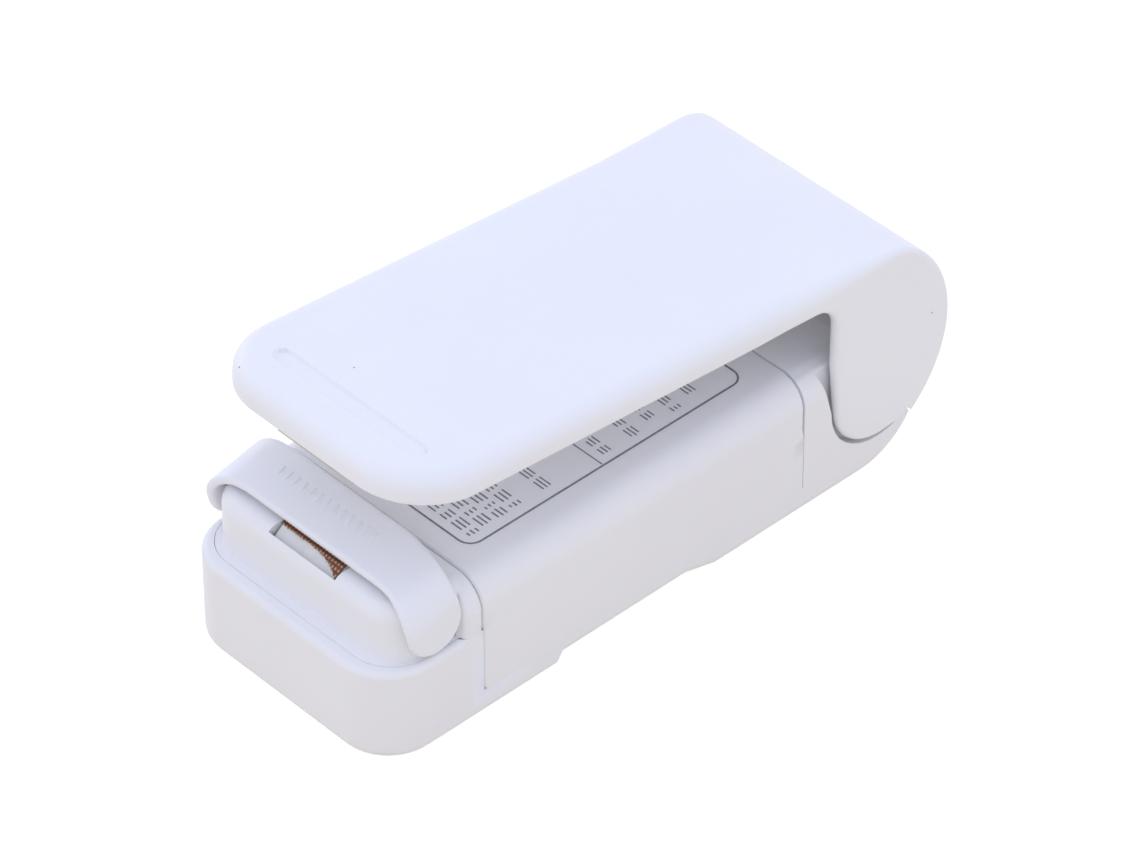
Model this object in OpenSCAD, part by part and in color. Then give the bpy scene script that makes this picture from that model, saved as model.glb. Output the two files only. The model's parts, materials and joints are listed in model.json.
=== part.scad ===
// Hand-held bag heat sealer: a battery case with a sprung press arm,
// a heater tip in the nose and a swinging guard over it.
// Lengths are in millimetres. Inside the modules, y = 0 is the front wall of the case
// and y grows towards the hinge; in_frame() then centres the whole on its footprint.

/* [Case] */
// Width of the case
case_w = 36; // [34:0.5:40]
// Height of the case's flat top
case_h = 20.4; // [20:0.2:23]
// Wall thickness of the mouldings
wall = 1.8; // [1.4:0.1:2]
// Radius of the two upright front corners
corner_r = 7; // [5.5:0.5:8]
// Radius of the lower outside edge
bottom_r = 1.8; // [1:0.1:2.4]
// Radius between the top and the sides
shoulder_r = 4; // [3:0.2:5]
// Height of the ledge around the nose
ledge_z = 13.5; // [12.5:0.1:14.5]
// Radius of the ledge's outside edge
rim_r = 0.85; // [0.5:0.05:1.2]
// Front edge of the middle cover
cover_y0 = 15.4; // [15.2:0.1:16.4]
// Rear edge of the middle cover
cover_y1 = 67.65; // [67:0.05:68.5]
// Height of the side rails below the cover
rail_z = 4; // [3.4:0.1:5]
// Gap that shows as a seam between two mouldings
seam = 0.2; // [0.1:0.05:0.3]
// Radius of the tail's lower rear corner
tail_r = 10.5; // [9:0.25:10.75]
// Centre of the tail's corner, from the front wall
tail_y = 78; // [77:0.25:78.5]

/* [Finger rest under the case] */
// Depth of the rest
rest_d = 1.35; // [0.8:0.05:1.5]
// Where its front slope starts
rest_y0 = 27.4; // [25:0.2:30]
// Where its rear slope ends
rest_y1 = 53.5; // [50:0.5:58]
// Length of the steep front slope
rest_front = 1.9; // [1:0.1:3]
// Length of the gentle rear slope
rest_rear = 5; // [3:0.5:8]

/* [Nose] */
// Half width of the nose
nose_x = 16.4; // [16:0.1:16.5]
// Front wall of the nose
nose_y = 3.2; // [3:0.1:3.4]
// Height of the nose's top
nose_h = 20.9; // [20.4:0.1:21]
// Radius of the nose's upright corners
nose_r = 4.8; // [4:0.1:5.2]
// Radius of the nose's upper edge
nose_edge = 2; // [1.4:0.1:2.2]
// Half width of the base flange let into the ledge
flange_x = 17.05; // [16.9:0.05:17.1]
// Front edge of the base flange
flange_y = 1.8; // [1.7:0.05:1.9]

/* [Guard] */
// Guard pivot, from the front wall
guard_y = 8.6; // [8.4:0.1:8.8]
// Height of the guard pivot
guard_z = 18; // [17.8:0.1:18.2]
// Radius of the rounded lower end of each side tongue
tongue_r = 3.9; // [3.7:0.1:4]
// Height of the band's top above the pivot
band_top = 5.29; // [5.2:0.01:5.3]
// Thickness of the guard
band_t = 1.2; // [1:0.05:1.25]
// Tilt of the band, rear edge up, in degrees
band_tilt = 11.7; // [11:0.1:12.2]
// Radius of the band's two upper corners
band_r = 4.5; // [4:0.1:5]

/* [Heater] */
// Half width of the heater tip
tip_x = 5.5; // [5:0.1:6]
// Front face of the heater tip
tip_y = 3.95; // [3.9:0.05:4.1]
// Height of the heater tip
tip_z = 21.2; // [21.1:0.05:21.3]
// Depth of the heater tip, front to rear
tip_d = 5.3; // [5:0.1:5.5]
// Travel of the heater when it is pressed
press = 0.8; // [0.5:0.05:0.8]

/* [Arm] */
// Width of the press arm
arm_w = 37; // [36.6:0.2:38]
// Tilt of the arm at rest, front up, in degrees
arm_tilt = 5; // [4.5:0.1:5]
// Turn of the arm from rest to closed, in degrees
arm_travel = 9.5; // [9:0.25:9.5]
// Height of the arm's top plane above the front wall of the case
arm_top = 40; // [39.9:0.1:40.5]
// Front edge of the arm, along its top plane
arm_u0 = 5.2; // [5.1:0.05:5.3]
// Height of the arm's side skirt
arm_skirt = 3.73; // [3.6:0.01:3.8]
// Radius of the arm's front corners seen from above
arm_corner = 9.5; // [8:0.5:11]
// Radius of the arm's upper edge
arm_edge = 2.2; // [1.6:0.1:2.5]
// Radius of the edges of the rear roll
roll_edge = 0.6; // [0.4:0.1:1]
// Thickness of the arm's side walls
arm_side_t = 1.5; // [1.3:0.1:1.5]
// Outer radius of the rear roll
roll_r = 16.5; // [16.4:0.1:17]
// Centre of the rear roll, from the front wall
roll_y = 75.3; // [75:0.1:75.5]
// Height of the centre of the rear roll
roll_z = 18.5; // [18.3:0.1:18.6]
// Radius of the blend between the arm's top and its roll
roll_blend = 8; // [6:0.5:10]

/* [Hinge] */
// Hinge pivot, from the front wall
pivot_y = 80.5; // [80.3:0.1:80.7]
// Height of the hinge pivot
pivot_z = 13.1; // [13:0.1:13.3]
// Radius of the steel hinge pin
pin_r = 1.5; // [1.2:0.1:1.6]
// Radius of the round lower end of the arm's cheeks
cheek_r = 7.6; // [7.4:0.1:7.7]
// Front edge of the cheeks
cheek_y = 72.2; // [72.1:0.1:72.5]
// Running clearance between a pin and its bore, on the radius
run = 0.05; // [0.03:0.01:0.08]

/* [Batteries] */
// Diameter of a cell
cell_d = 14.5; // [14:0.1:14.5]
// Length of a cell, button included
cell_l = 50.5; // [50:0.1:50.5]
// Distance of each cell's axis from the middle
cell_x = 7.6; // [7.5:0.05:7.7]
// Height of the cells' axes
cell_z = 10.4; // [10.3:0.05:10.6]

/* [Battery door] */
// Half width of the door
door_x = 14.2; // [13.5:0.1:14.3]
// Thickness of the door
door_t = 1.6; // [1.4:0.1:1.6]
// Hinge line of the door, from the front wall
door_y0 = 17.8; // [17.5:0.1:18.5]
// Rear edge of the door
door_y1 = 66.2; // [65:0.1:66.4]

/* [Hidden] */
$fn = 64;

white_abs = [0.93, 0.93, 0.96];
white_mid = [0.90, 0.90, 0.93];
white_arm = [0.96, 0.96, 0.99];
steel = [0.72, 0.73, 0.75];
nickel = [0.80, 0.78, 0.74];
copper = [0.80, 0.52, 0.34];
big = 200;                       // longer than anything here

case_x = case_w / 2;
mid_y = (roll_y + roll_r) / 2;   // middle of the whole length
in_x = case_x - wall;            // inside face of the side walls
bulk_t = 1.2;                    // thickness of the two inner bulkheads
bulk_y0 = 12.8;                  // front face of the front bulkhead
cells_y0 = bulk_y0 + bulk_t;     // front end of the battery space
cells_y1 = 69.4;                 // rear end of the battery space
roof_z = case_h - wall;          // underside of the cover's top

pin_x = 17.8;                    // half length of the hinge pin
barrel_r = 6.8;                  // rear end of the case, round the hinge
core_x = 16.4;                   // half width of the case between the cheeks
groove = 0.6;                    // gap between a cheek's round end and the case
step_y = 70.3;                   // step in the case's side at the top
lip_angle = -53.5;               // where the case's tail starts, seen from the pivot
arm_lip_angle = -52;             // where the arm's rear wall ends
spring_slot_x = 3.2;             // half width of the slot for the arm spring
spring_slot_y = [72.6, 77.6];    // front and rear of that slot

screw_x = 12.2;                  // places of the two case screws
screw_y = 10.2;
screw_r = 1;
boss_r = 2.4;

door_gap = 0.2;                  // clearance round the door
door_up = 0.1;                   // the door sits this far above the feet
door_pin_r = 0.5;
door_pin_x = 15.4;

left_y0 = 16;                    // front ends of the two cells
right_y0 = 15.5;
sink = 0.05;                     // how far a spring's end turn is let into its plate
seat_z = 5;                      // top of the pedestal under the heater springs
strip_t = 0.4;                   // thickness of the contact strips
carrier_z0 = 11.6;               // underside of the heater carrier
carrier_z1 = 16;
carrier_y = [5.2, 10.8];         // front and rear of the carrier
block_z = 14.4;                  // underside of the heater block
cover_t = 0.3;                   // ribbon and tape together over the block
ribbon_t = 0.12;                 // the ribbon alone
feed_x = 7;                      // the two heater springs
feed_y = 8;
nose_wall = 1.6;
window_z = 16;                   // lower edge of the nose's window
lead_x = 8.4;                    // where each lead passes through the front bulkhead
lead_z = 3.5;
lead_r = 0.4;                    // radius of a lead
tab_z = [4.4, 6];                // solder tabs below the contact strips
strip_z = [5.6, 15.4];           // contact strips
strip_x = [3, 12.5];

// ---- helpers ----

module in_frame() {
  translate([0, -mid_y, 0]) children();
}

// Extrudes an outline drawn as (y, z) along x
module along_x(x0, x1) {
  rotate([90, 0, 90]) translate([0, 0, x0]) linear_extrude(x1 - x0) children();
}

// Extrudes an outline drawn as (x, z) along y
module along_y(y0, y1) {
  translate([0, y1, 0]) rotate([90, 0, 0]) linear_extrude(y1 - y0) children();
}

module box(x, y, z) {
  translate([x[0], y[0], z[0]]) cube([x[1] - x[0], y[1] - y[0], z[1] - z[0]]);
}

module both_sides() {
  children();
  mirror([1, 0, 0]) children();
}

// Half outline from the axis out to w, with its two outer corners rounded
module half_profile(w, z0, z1, r_bot, r_top) {
  middle = (z0 + z1) / 2;
  translate([0, z0]) square([w - r_bot, middle - z0]);
  translate([0, middle]) square([w - r_top, z1 - middle]);
  translate([0, z0 + r_bot]) square([w, z1 - z0 - r_bot - r_top]);
  if (r_bot > 0) translate([w - r_bot, z0 + r_bot]) circle(r_bot);
  if (r_top > 0) translate([w - r_top, z1 - r_top]) circle(r_top);
}

module full_profile(w, z0, z1, r_bot, r_top) {
  half_profile(w, z0, z1, r_bot, r_top);
  mirror([1, 0]) half_profile(w, z0, z1, r_bot, r_top);
}

// Block with two upright round corners at its front and rounded lower and upper edges
module slab(half_w, y0, y1, z0, z1, corner, r_bot, r_top) {
  flat_x = half_w - corner;
  along_y(y0 + corner, y1) full_profile(half_w, z0, z1, r_bot, r_top);
  along_x(-flat_x, flat_x) translate([y0 + corner, 0]) mirror([1, 0])
    half_profile(corner, z0, z1, r_bot, r_top);
  both_sides() translate([flat_x, y0 + corner, 0])
    rotate_extrude() half_profile(corner, z0, z1, r_bot, r_top);
}

// Cylinder along x
module rod_x(x0, x1, y, z, r) {
  translate([x0, y, z]) rotate([0, 90, 0]) cylinder(h = x1 - x0, r = r);
}

// Cylinder along y
module rod_y(y0, y1, x, z, r) {
  translate([x, y1, z]) rotate([90, 0, 0]) cylinder(h = y1 - y0, r = r);
}

function unit(v) = v / norm(v);

// Points of a ring of a tube: centre c, and the two directions across the tube
function ring(c, a, b, r, sides) =
  [for (j = [0 : sides - 1]) c + r * cos(360 * j / sides) * a + r * sin(360 * j / sides) * b];

// Closed tube from a list of rings
module skin_tube(rings, sides) {
  count = len(rings);
  last = (count - 1) * sides;
  points = [for (one = rings) each one];
  walls = [
    for (i = [0 : count - 2]) for (j = [0 : sides - 1])
      let (k = (j + 1) % sides)
      each [
        [i * sides + j, (i + 1) * sides + j, (i + 1) * sides + k],
        [i * sides + j, (i + 1) * sides + k, i * sides + k]
      ]
  ];
  start_cap = [[for (j = [0 : sides - 1]) j]];
  end_cap = [[for (j = [0 : sides - 1]) last + sides - 1 - j]];
  polyhedron(points, concat(walls, start_cap, end_cap));
}

// Wire along a list of points; up is never parallel to the path
module wire(path, r, up, sides = 8) {
  count = len(path);
  rings = [
    for (i = [0 : count - 1])
      let (
        t = unit(path[min(i + 1, count - 1)] - path[max(i - 1, 0)]),
        a = unit(cross(t, up)),
        b = cross(t, a)
      )
      ring(path[i], a, b, r, sides)
  ];
  skin_tube(rings, sides);
}

// Coil spring along +z: the radius goes evenly from r0 to r1 over its height
module coil(r0, r1, height, turns, wire_r, steps = 18, sides = 6) {
  count = turns * steps;
  rings = [
    for (i = [0 : count])
      let (
        f = i / count,
        angle = 360 * turns * f,
        out = [cos(angle), sin(angle), 0],
        r = r0 + (r1 - r0) * f
      )
      ring(r * out + [0, 0, wire_r + (height - 2 * wire_r) * f], [0, 0, 1], out, wire_r, sides)
  ];
  skin_tube(rings, sides);
}

// ---- outlines, drawn as (y, z) ----

function from_pivot(angle, r) = [pivot_y + r * cos(angle), pivot_z + r * sin(angle)];

// Side of the case if nothing were cut away for the arm
module case_side() {
  translate([-1, 0]) square([tail_y + 1, case_h]);
  translate([tail_y, tail_r]) circle(tail_r);
}

// Side of the case where the arm's cheeks lie over it
module case_side_stepped() {
  difference() {
    case_side();
    translate([pivot_y, pivot_z]) circle(cheek_r + groove);
    polygon([
      [step_y, case_h], [pivot_y - cheek_r - groove, pivot_z], [pivot_y, pivot_z],
      from_pivot(lip_angle, 20), [big, -10], [big, big], [step_y, big]
    ]);
  }
}

// Side of the case between the cheeks
module case_side_core() {
  difference() {
    case_side();
    polygon([
      [pivot_y - 3.5, case_h], [pivot_y, pivot_z + barrel_r], [pivot_y, pivot_z],
      from_pivot(lip_angle, 20), [big, -10], [big, big], [pivot_y - 3.5, big]
    ]);
  }
  translate([pivot_y, pivot_z]) circle(barrel_r);
}

// Side of the hollow in the tail
module tail_hollow() {
  tail_front = cells_y1 + bulk_t;
  translate([tail_front, wall]) square([tail_y - tail_front, roof_z - wall]);
  translate([pivot_y, pivot_z]) circle(barrel_r - wall);
  difference() {
    translate([tail_y, tail_r]) circle(tail_r - wall);
    polygon([
      [pivot_y, big], [pivot_y, pivot_z], from_pivot(lip_angle - 12, 20), [big, -10], [big, big]
    ]);
    translate([0, roof_z]) square([big, big]);
  }
}

// Side of the finger rest under the case, raised by up
module rest_side(up = 0) {
  polygon([
    [rest_y0, -1], [rest_y0, up], [rest_y0 + rest_front, rest_d + up],
    [rest_y1 - rest_rear, rest_d + up], [rest_y1, up], [rest_y1, -1]
  ]);
}

// ---- case ----

module front_block() {
  slab(case_x, 0, cover_y0 - seam / 2, 0, ledge_z, corner_r, bottom_r, rim_r);
}

module case_floor() {
  slab(case_x, 0, big / 2, 0, rail_z, corner_r, bottom_r, 0);
}

module rear_block() {
  along_y(cover_y1 + seam / 2, big / 2) full_profile(case_x, 0, case_h, bottom_r, shoulder_r);
}

module case_blank() {
  intersection() {
    union() {
      case_floor();
      rear_block();
    }
    union() {
      along_x(-case_x - 1, case_x + 1) case_side_stepped();
      along_x(-core_x, core_x) case_side_core();
    }
    // the lower edge stays rounded where the tail curves up
    union() {
      box([-big, big], [-1, tail_y], [-1, big]);
      translate([0, tail_y, tail_r]) drum(case_x, tail_r, bottom_r);
    }
  }
  front_block();
}

// Walls and lugs inside the case
module case_inside() {
  lip_x = 15.3;
  lip_z = 8;
  post_z = 8;
  // upright lips that the cover slips over
  both_sides() box([lip_x, in_x - 0.1], [cover_y0 + 2, cover_y1 - 2], [wall - 0.5, lip_z]);
  // floor beside the door, raised over the finger rest
  both_sides() box([door_x, in_x + 0.2], [rest_y0 - 1.5, rest_y1], [wall - 0.2, wall + rest_d]);
  // bosses for the two screws
  both_sides() translate([screw_x, screw_y, wall - 0.5]) cylinder(h = post_z - wall + 0.5, r = boss_r);
  // pedestal under the heater springs
  box([-9.6, 9.6], [5.6, 10.4], [wall - 0.5, seat_z]);
  // bearing sleeves of the hinge pin
  both_sides() rod_x(6, in_x - 1, pivot_y, pivot_z, 3.2);
}

module lower_case() {
  slot_y = spring_slot_y;
  color(white_abs) in_frame() difference() {
    union() {
      difference() {
        case_blank();
        // front compartment and the rebate for the nose's flange
        slab(in_x, wall, bulk_y0, wall, big, corner_r - wall, 1, 0);
        slab(flange_x + 0.05, flange_y - 0.05, cover_y0 + 1, ledge_z - bulk_t, big, 6, 0, 0);
        // battery space
        box([-in_x, in_x], [cells_y0, cells_y1], [wall, roof_z]);
        // tail
        along_x(-core_x + wall, core_x - wall) tail_hollow();
      }
      case_inside();
    }
    // door opening and its two pivot holes
    box([-door_x - door_gap, door_x + door_gap], [door_y0 - 1, door_y1 + door_gap], [-1, wall + 1.5]);
    rod_x(-door_pin_x - 0.1, door_pin_x + 0.1, door_y0, door_up + door_t / 2, door_pin_r + run);
    along_x(-big, big) rest_side();
    // screw holes with their sunk heads
    both_sides() translate([screw_x, screw_y, -1]) cylinder(h = big / 10, r = screw_r + 0.15);
    both_sides() translate([screw_x, screw_y, -1]) cylinder(h = 3, r = 2.1);
    // hinge pin, spring slot and wire holes
    rod_x(-core_x - 1, core_x + 1, pivot_y, pivot_z, pin_r);
    box([-spring_slot_x, spring_slot_x], slot_y, [roof_z - 1, big]);
    both_sides() rod_y(bulk_y0 - 1, cells_y0 + 1, lead_x, lead_z, 0.8);
  }
}

module upper_cover() {
  y0 = cover_y0 + seam / 2;
  y1 = cover_y1 - seam / 2;
  color(white_abs) in_frame() {
    difference() {
      along_y(y0, y1) full_profile(case_x, rail_z, case_h, 0, shoulder_r);
      along_y(y0 - 1, y1 + 1) full_profile(in_x, rail_z - 1, roof_z, 0, shoulder_r - wall);
    }
    // rib between the cells
    box([-1.2, 1.2], [y0 + 3, y1 - 3], [15.8, roof_z + 0.5]);
  }
}

module nose_cover() {
  y1 = cover_y0 - seam / 2;
  base_z = ledge_z - bulk_t;
  color(white_abs) in_frame() difference() {
    union() {
      difference() {
        union() {
          slab(nose_x, nose_y, bulk_y0 + 1, base_z, nose_h, nose_r, 0, nose_edge);
          slab(flange_x, flange_y, bulk_y0 + 1, base_z, ledge_z, 6, 0, 0);
          // band behind the guard, level with the cover
          along_y(bulk_y0 + 0.6, y1) full_profile(case_x, ledge_z, case_h, 0, shoulder_r);
        }
        slab(nose_x - nose_wall, nose_y + nose_wall, bulk_y0, 0, nose_h - nose_wall,
          nose_r - nose_wall, 0, 0.4);
        along_y(cells_y0, big) full_profile(in_x, 0, roof_z, 0, shoulder_r - wall);
      }
      // posts for the two screws
      both_sides() translate([screw_x, screw_y, 8]) cylinder(h = nose_h - 8 - 1, r = boss_r);
    }
    // window for the heater tip, deep enough for its travel
    box([-tip_x - 0.25, tip_x + 0.25], [tip_y - 0.1, tip_y + tip_d + 0.45], [window_z, big]);
    // pivots of the guard, in the side walls alone
    both_sides() rod_x(nose_x - nose_wall - 0.1, big, guard_y, guard_z, pin_r + run);
    both_sides() translate([screw_x, screw_y, 0]) cylinder(h = 14, r = screw_r);
  }
}

module case_screws() {
  color(steel) in_frame() both_sides() translate([screw_x, screw_y, 0]) {
    difference() {
      translate([0, 0, 0.6]) cylinder(h = 1.3, r = 1.9);
      // cross recess
      translate([0, 0, 0.5]) cube([2.2, 0.5, 1.3], center = true);
      translate([0, 0, 0.5]) cube([0.5, 2.2, 1.3], center = true);
    }
    translate([0, 0, 1.8]) cylinder(h = 10.7, r = screw_r);
    translate([0, 0, 12.5]) cylinder(h = 1, r1 = screw_r, r2 = 0.3);
  }
}

module battery_door() {
  z0 = door_up;
  z1 = door_up + door_t;
  color(white_abs) in_frame() {
    difference() {
      union() {
        box([-door_x, door_x], [door_y0, door_y1], [z0, z1]);
        box([-door_x, door_x], [rest_y0 - 1.5, rest_y1 - 1], [z0, z1 + rest_d]);
      }
      along_x(-big, big) rest_side(door_up);
      along_x(-big, big) polygon([
        [rest_y1 - rest_rear - 2, z1 + rest_d], [rest_y1 - 0.9, z1],
        [rest_y1, z1], [rest_y1, big], [rest_y1 - rest_rear - 2, big]
      ]);
    }
    // hinge edge with its two stub pins
    rod_x(-door_x, door_x, door_y0, z0 + door_t / 2, door_t / 2);
    rod_x(-door_pin_x, door_pin_x, door_y0, z0 + door_t / 2, door_pin_r);
    // snap tongue on the free edge
    box([-4, 4], [door_y1 - 1.6, door_y1 - 0.6], [z1 - 0.2, z1 + 1.2]);
  }
}

// ---- batteries and wiring ----

// One cell whose negative end is at y0
module cell(x, y0, flip) {
  button = 1;
  translate([x, y0 + (flip ? cell_l : 0), cell_z]) rotate([flip ? 90 : -90, 0, 0]) {
    cylinder(h = cell_l - button, r = cell_d / 2 - 0.3);
    translate([0, 0, 0.4]) cylinder(h = cell_l - button - 0.8, r = cell_d / 2);
    cylinder(h = cell_l, r = 2.7);
  }
}

module battery_left() {
  color([0.30, 0.32, 0.36]) in_frame() cell(-cell_x, left_y0, false);
}

module battery_right() {
  color([0.30, 0.32, 0.36]) in_frame() cell(cell_x, right_y0, true);
}

module contact_positive() {
  color(nickel) in_frame() {
    box(strip_x, [cells_y0, cells_y0 + strip_t], strip_z);
    rod_y(cells_y0, right_y0, cell_x, cell_z, 2.4);
    box([lead_x - 1, lead_x + 1], [cells_y0, cells_y0 + strip_t], tab_z);
  }
}

module contact_negative() {
  color(nickel) in_frame() {
    box([-strip_x[1], -strip_x[0]], [cells_y0, cells_y0 + strip_t], strip_z);
    box([-lead_x - 1, -lead_x + 1], [cells_y0, cells_y0 + strip_t], tab_z);
    translate([-cell_x, cells_y0 + strip_t - sink, cell_z]) rotate([-90, 0, 0])
      coil(4.6, 2, left_y0 - cells_y0 - strip_t + sink, 2, 0.3);
  }
}

module contact_bridge() {
  plate_y = cells_y1 - strip_t;
  left_end = left_y0 + cell_l;
  right_end = right_y0 + cell_l;
  color(nickel) in_frame() {
    box([-strip_x[1], strip_x[1]], [plate_y, cells_y1], strip_z);
    rod_y(left_end, cells_y1, -cell_x, cell_z, 3);
    translate([cell_x, plate_y + sink, cell_z]) rotate([90, 0, 0])
      coil(4.8, 2.2, plate_y + sink - right_end, 3, 0.35);
  }
}

// Leads by hand-picked points: from a battery contact, through the bulkhead, to a strip
red_route = [
  [8.4, 14.8, 5.1], [8.4, 14.85, 4.4], [8.4, 14.5, 3.7], [8.4, 13.8, 3.5], [8.4, 12.4, 3.5],
  [8.5, 11.6, 3.9], [8.8, 11.1, 4.8], [8.9, 10.7, 5.6], [8.8, 10.2, 5.85], [8.8, 9.8, 5.85]
];
black_route = [
  [-8.4, 14.8, 5.1], [-8.4, 14.85, 4.4], [-8.4, 14.5, 3.7], [-8.4, 13.8, 3.5], [-8.4, 12.4, 3.5],
  [-7.6, 11.7, 4.2], [-5, 11.5, 5], [-1, 11.5, 5.4], [1.4, 11.2, 5.7], [2.6, 10.4, 5.9],
  [2.6, 9.7, 5.85]
];

module wire_red() {
  color([0.75, 0.12, 0.10]) in_frame() wire(red_route, lead_r, [1, 0, 0]);
}

module wire_black() {
  color([0.10, 0.10, 0.11]) in_frame() wire(black_route, lead_r, [1, 1, 1]);
}

// Seat of the right heater spring
module feed_plate() {
  color(copper) in_frame() box([4.8, 9.4], [5.8, 10.2], [seat_z, seat_z + strip_t]);
}

blade_top = carrier_z0 - strip_t - press - 0.05;

module switch_blade_in() {
  color(copper) in_frame() {
    box([1.6, 3.6], [5.8, 10.2], [seat_z, seat_z + strip_t]);
    box([1.6, 3.6], [7.6, 8], [seat_z, blade_top]);
  }
}

// Second switch blade, in one piece with the seat of the left heater spring
module switch_blade_out() {
  color(copper) in_frame() {
    box([-9.4, -1.6], [5.8, 10.2], [seat_z, seat_z + strip_t]);
    box([-3.6, -1.6], [7.6, 8], [seat_z, blade_top]);
  }
}

// ---- heater ----

module heater_carrier() {
  color([0.82, 0.80, 0.76]) in_frame() difference() {
    union() {
      box([-9.4, 9.4], carrier_y, [carrier_z0, 13.4]);
      box([-7, 7], carrier_y, [13.4, carrier_z1]);
    }
    box([-tip_x, tip_x], [0, tip_y + tip_d], [block_z, big]);
  }
}

module heater_block() {
  y1 = tip_y + tip_d;
  edge = 0.7;
  top = tip_z - cover_t;
  neck_z = 17;
  color([0.86, 0.86, 0.86]) in_frame() along_x(-tip_x, tip_x) {
    translate([carrier_y[0], block_z]) square([y1 - carrier_y[0], 4]);
    translate([tip_y, neck_z]) square([tip_d, top - edge - neck_z]);
    translate([tip_y + edge, neck_z]) square([tip_d - edge, top - neck_z]);
    translate([tip_y + edge, top - edge]) circle(edge);
  }
}

// Resistance ribbon over the top of the block, turned down behind it
module heating_element() {
  y1 = tip_y + tip_d;
  z1 = tip_z - cover_t;
  color(steel) in_frame() {
    box([-4.8, 4.8], [tip_y + 0.6, tip_y + 2.9], [z1, z1 + ribbon_t]);
    both_sides() box([3.4, 4.8], [tip_y + 2.9, y1 + ribbon_t], [z1, z1 + ribbon_t]);
    both_sides() box([3.4, 4.8], [y1, y1 + ribbon_t], [carrier_z1, z1 + ribbon_t]);
  }
}

module release_tape() {
  y1 = tip_y + tip_d;
  z1 = tip_z - cover_t + ribbon_t;
  color([0.55, 0.38, 0.28]) in_frame() {
    box([-tip_x, tip_x], [tip_y + 0.5, y1 + ribbon_t], [z1, tip_z]);
    box([-tip_x, tip_x], [y1 + ribbon_t, y1 + cover_t], [carrier_z1 + 0.5, tip_z]);
  }
}

module switch_bridge() {
  color(copper) in_frame() box([-4, 4], [7, 8.8], [carrier_z0 - strip_t, carrier_z0]);
}

module feed_springs() {
  color(steel) in_frame() both_sides() translate([feed_x, feed_y, seat_z + strip_t])
    coil(1.8, 1.8, carrier_z0 - seat_z - strip_t, 5, 0.25, 16);
}

// ---- guard ----

// Front view of the band and its two tongues, about the pivot
module guard_arch() {
  outer_x = case_x - 0.05;
  difference() {
    full_profile(outer_x, -8, band_top, 0, band_r);
    full_profile(outer_x - band_t, -9, band_top - band_t, 0, band_r - band_t);
  }
}

// Side view of a tongue, about the pivot
module guard_side() {
  circle(tongue_r);
  polygon([
    [-tongue_r, 0], [-tongue_r + 0.5, band_top], [-3, 8],
    [6, 8], [tongue_r + 0.9, 6.2], [tongue_r, 0]
  ]);
}

module safety_guard() {
  inner_x = case_x - 0.05 - band_t;
  rib_x = [for (i = [0 : 12]) -10.1 + 1.33 * i];
  color(white_abs) in_frame() translate([0, guard_y, guard_z]) {
    intersection() {
      rotate([band_tilt, 0, 0]) along_y(-12, 12) guard_arch();
      along_x(-big, big) guard_side();
    }
    // pivot stubs
    both_sides() rod_x(nose_x - nose_wall + 0.1, inner_x + 0.3, 0, 0, pin_r);
    // row of fine raised ribs on the band, for grip
    rotate([band_tilt, 0, 0]) for (x = rib_x)
      box([x - 0.2, x + 0.2], [1.4, 3.05], [band_top - 0.3, band_top + 0.15]);
  }
}

// ---- arm and hinge ----

module hinge_pin() {
  color(steel) in_frame() rod_x(-pin_x, pin_x, pivot_y, pivot_z, pin_r);
}

module arm_spring() {
  wire_r = 0.4;
  coil_r = 2.7;
  coil_w = 5;
  up_leg = 19.1;
  low_leg = 7.5;
  color(steel) in_frame() translate([0, pivot_y, pivot_z]) {
    rotate([0, 90, 0]) translate([0, 0, -coil_w / 2]) coil(coil_r, coil_r, coil_w, 4, wire_r);
    // leg that pushes the arm up
    translate([coil_w / 2 - wire_r, -coil_r, 0]) rotate([15, 0, 0]) cylinder(h = up_leg, r = wire_r);
    // leg that reaches down into the case
    translate([-coil_w / 2 + wire_r, 0, -coil_r]) rotate([100, 0, 0]) cylinder(h = low_leg, r = wire_r);
  }
}

// Solid of revolution about x with rounded rims
module drum(half_w, r, edge) {
  rotate([0, 90, 0]) rotate_extrude() rotate(-90) full_profile(half_w, 0, r, 0, edge);
}

// Places a child drawn along the arm's top plane: u along it, v up from it
module on_arm() {
  translate([0, 0, arm_top]) rotate([-arm_tilt, 0, 0]) children();
}

roll_u = roll_y * cos(arm_tilt) + (arm_top - roll_z) * sin(arm_tilt);
roll_v = roll_y * sin(arm_tilt) - (arm_top - roll_z) * cos(arm_tilt);
// distance along the arm from the roll's centre to the blend's centre
blend_u = sqrt(pow(roll_r - roll_blend, 2) - pow(-roll_v - roll_blend, 2));

// Outer form of the arm, or its hollow when it is drawn with the walls taken off.
// The rounded edge of the top fades to a crisp one round the roll.
module arm_form(top_t, side_t, edge, roll_edge) {
  half_w = arm_w / 2 - side_t;
  blend_edge = (edge + roll_edge) / 2;
  on_arm() {
    slab(half_w, arm_u0 + top_t, roll_u + blend_u, -38, -top_t, arm_corner - top_t, 0, edge);
    translate([0, roll_u + blend_u, -roll_blend]) drum(half_w, roll_blend - top_t, blend_edge);
    intersection() {
      translate([0, roll_u, roll_v]) drum(half_w, roll_r - top_t, roll_edge);
      along_x(-big, big) translate([roll_u, roll_v])
        rotate(atan2(-roll_v - roll_blend, blend_u)) translate([-50, -100]) square([150, 100]);
    }
  }
}

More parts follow.
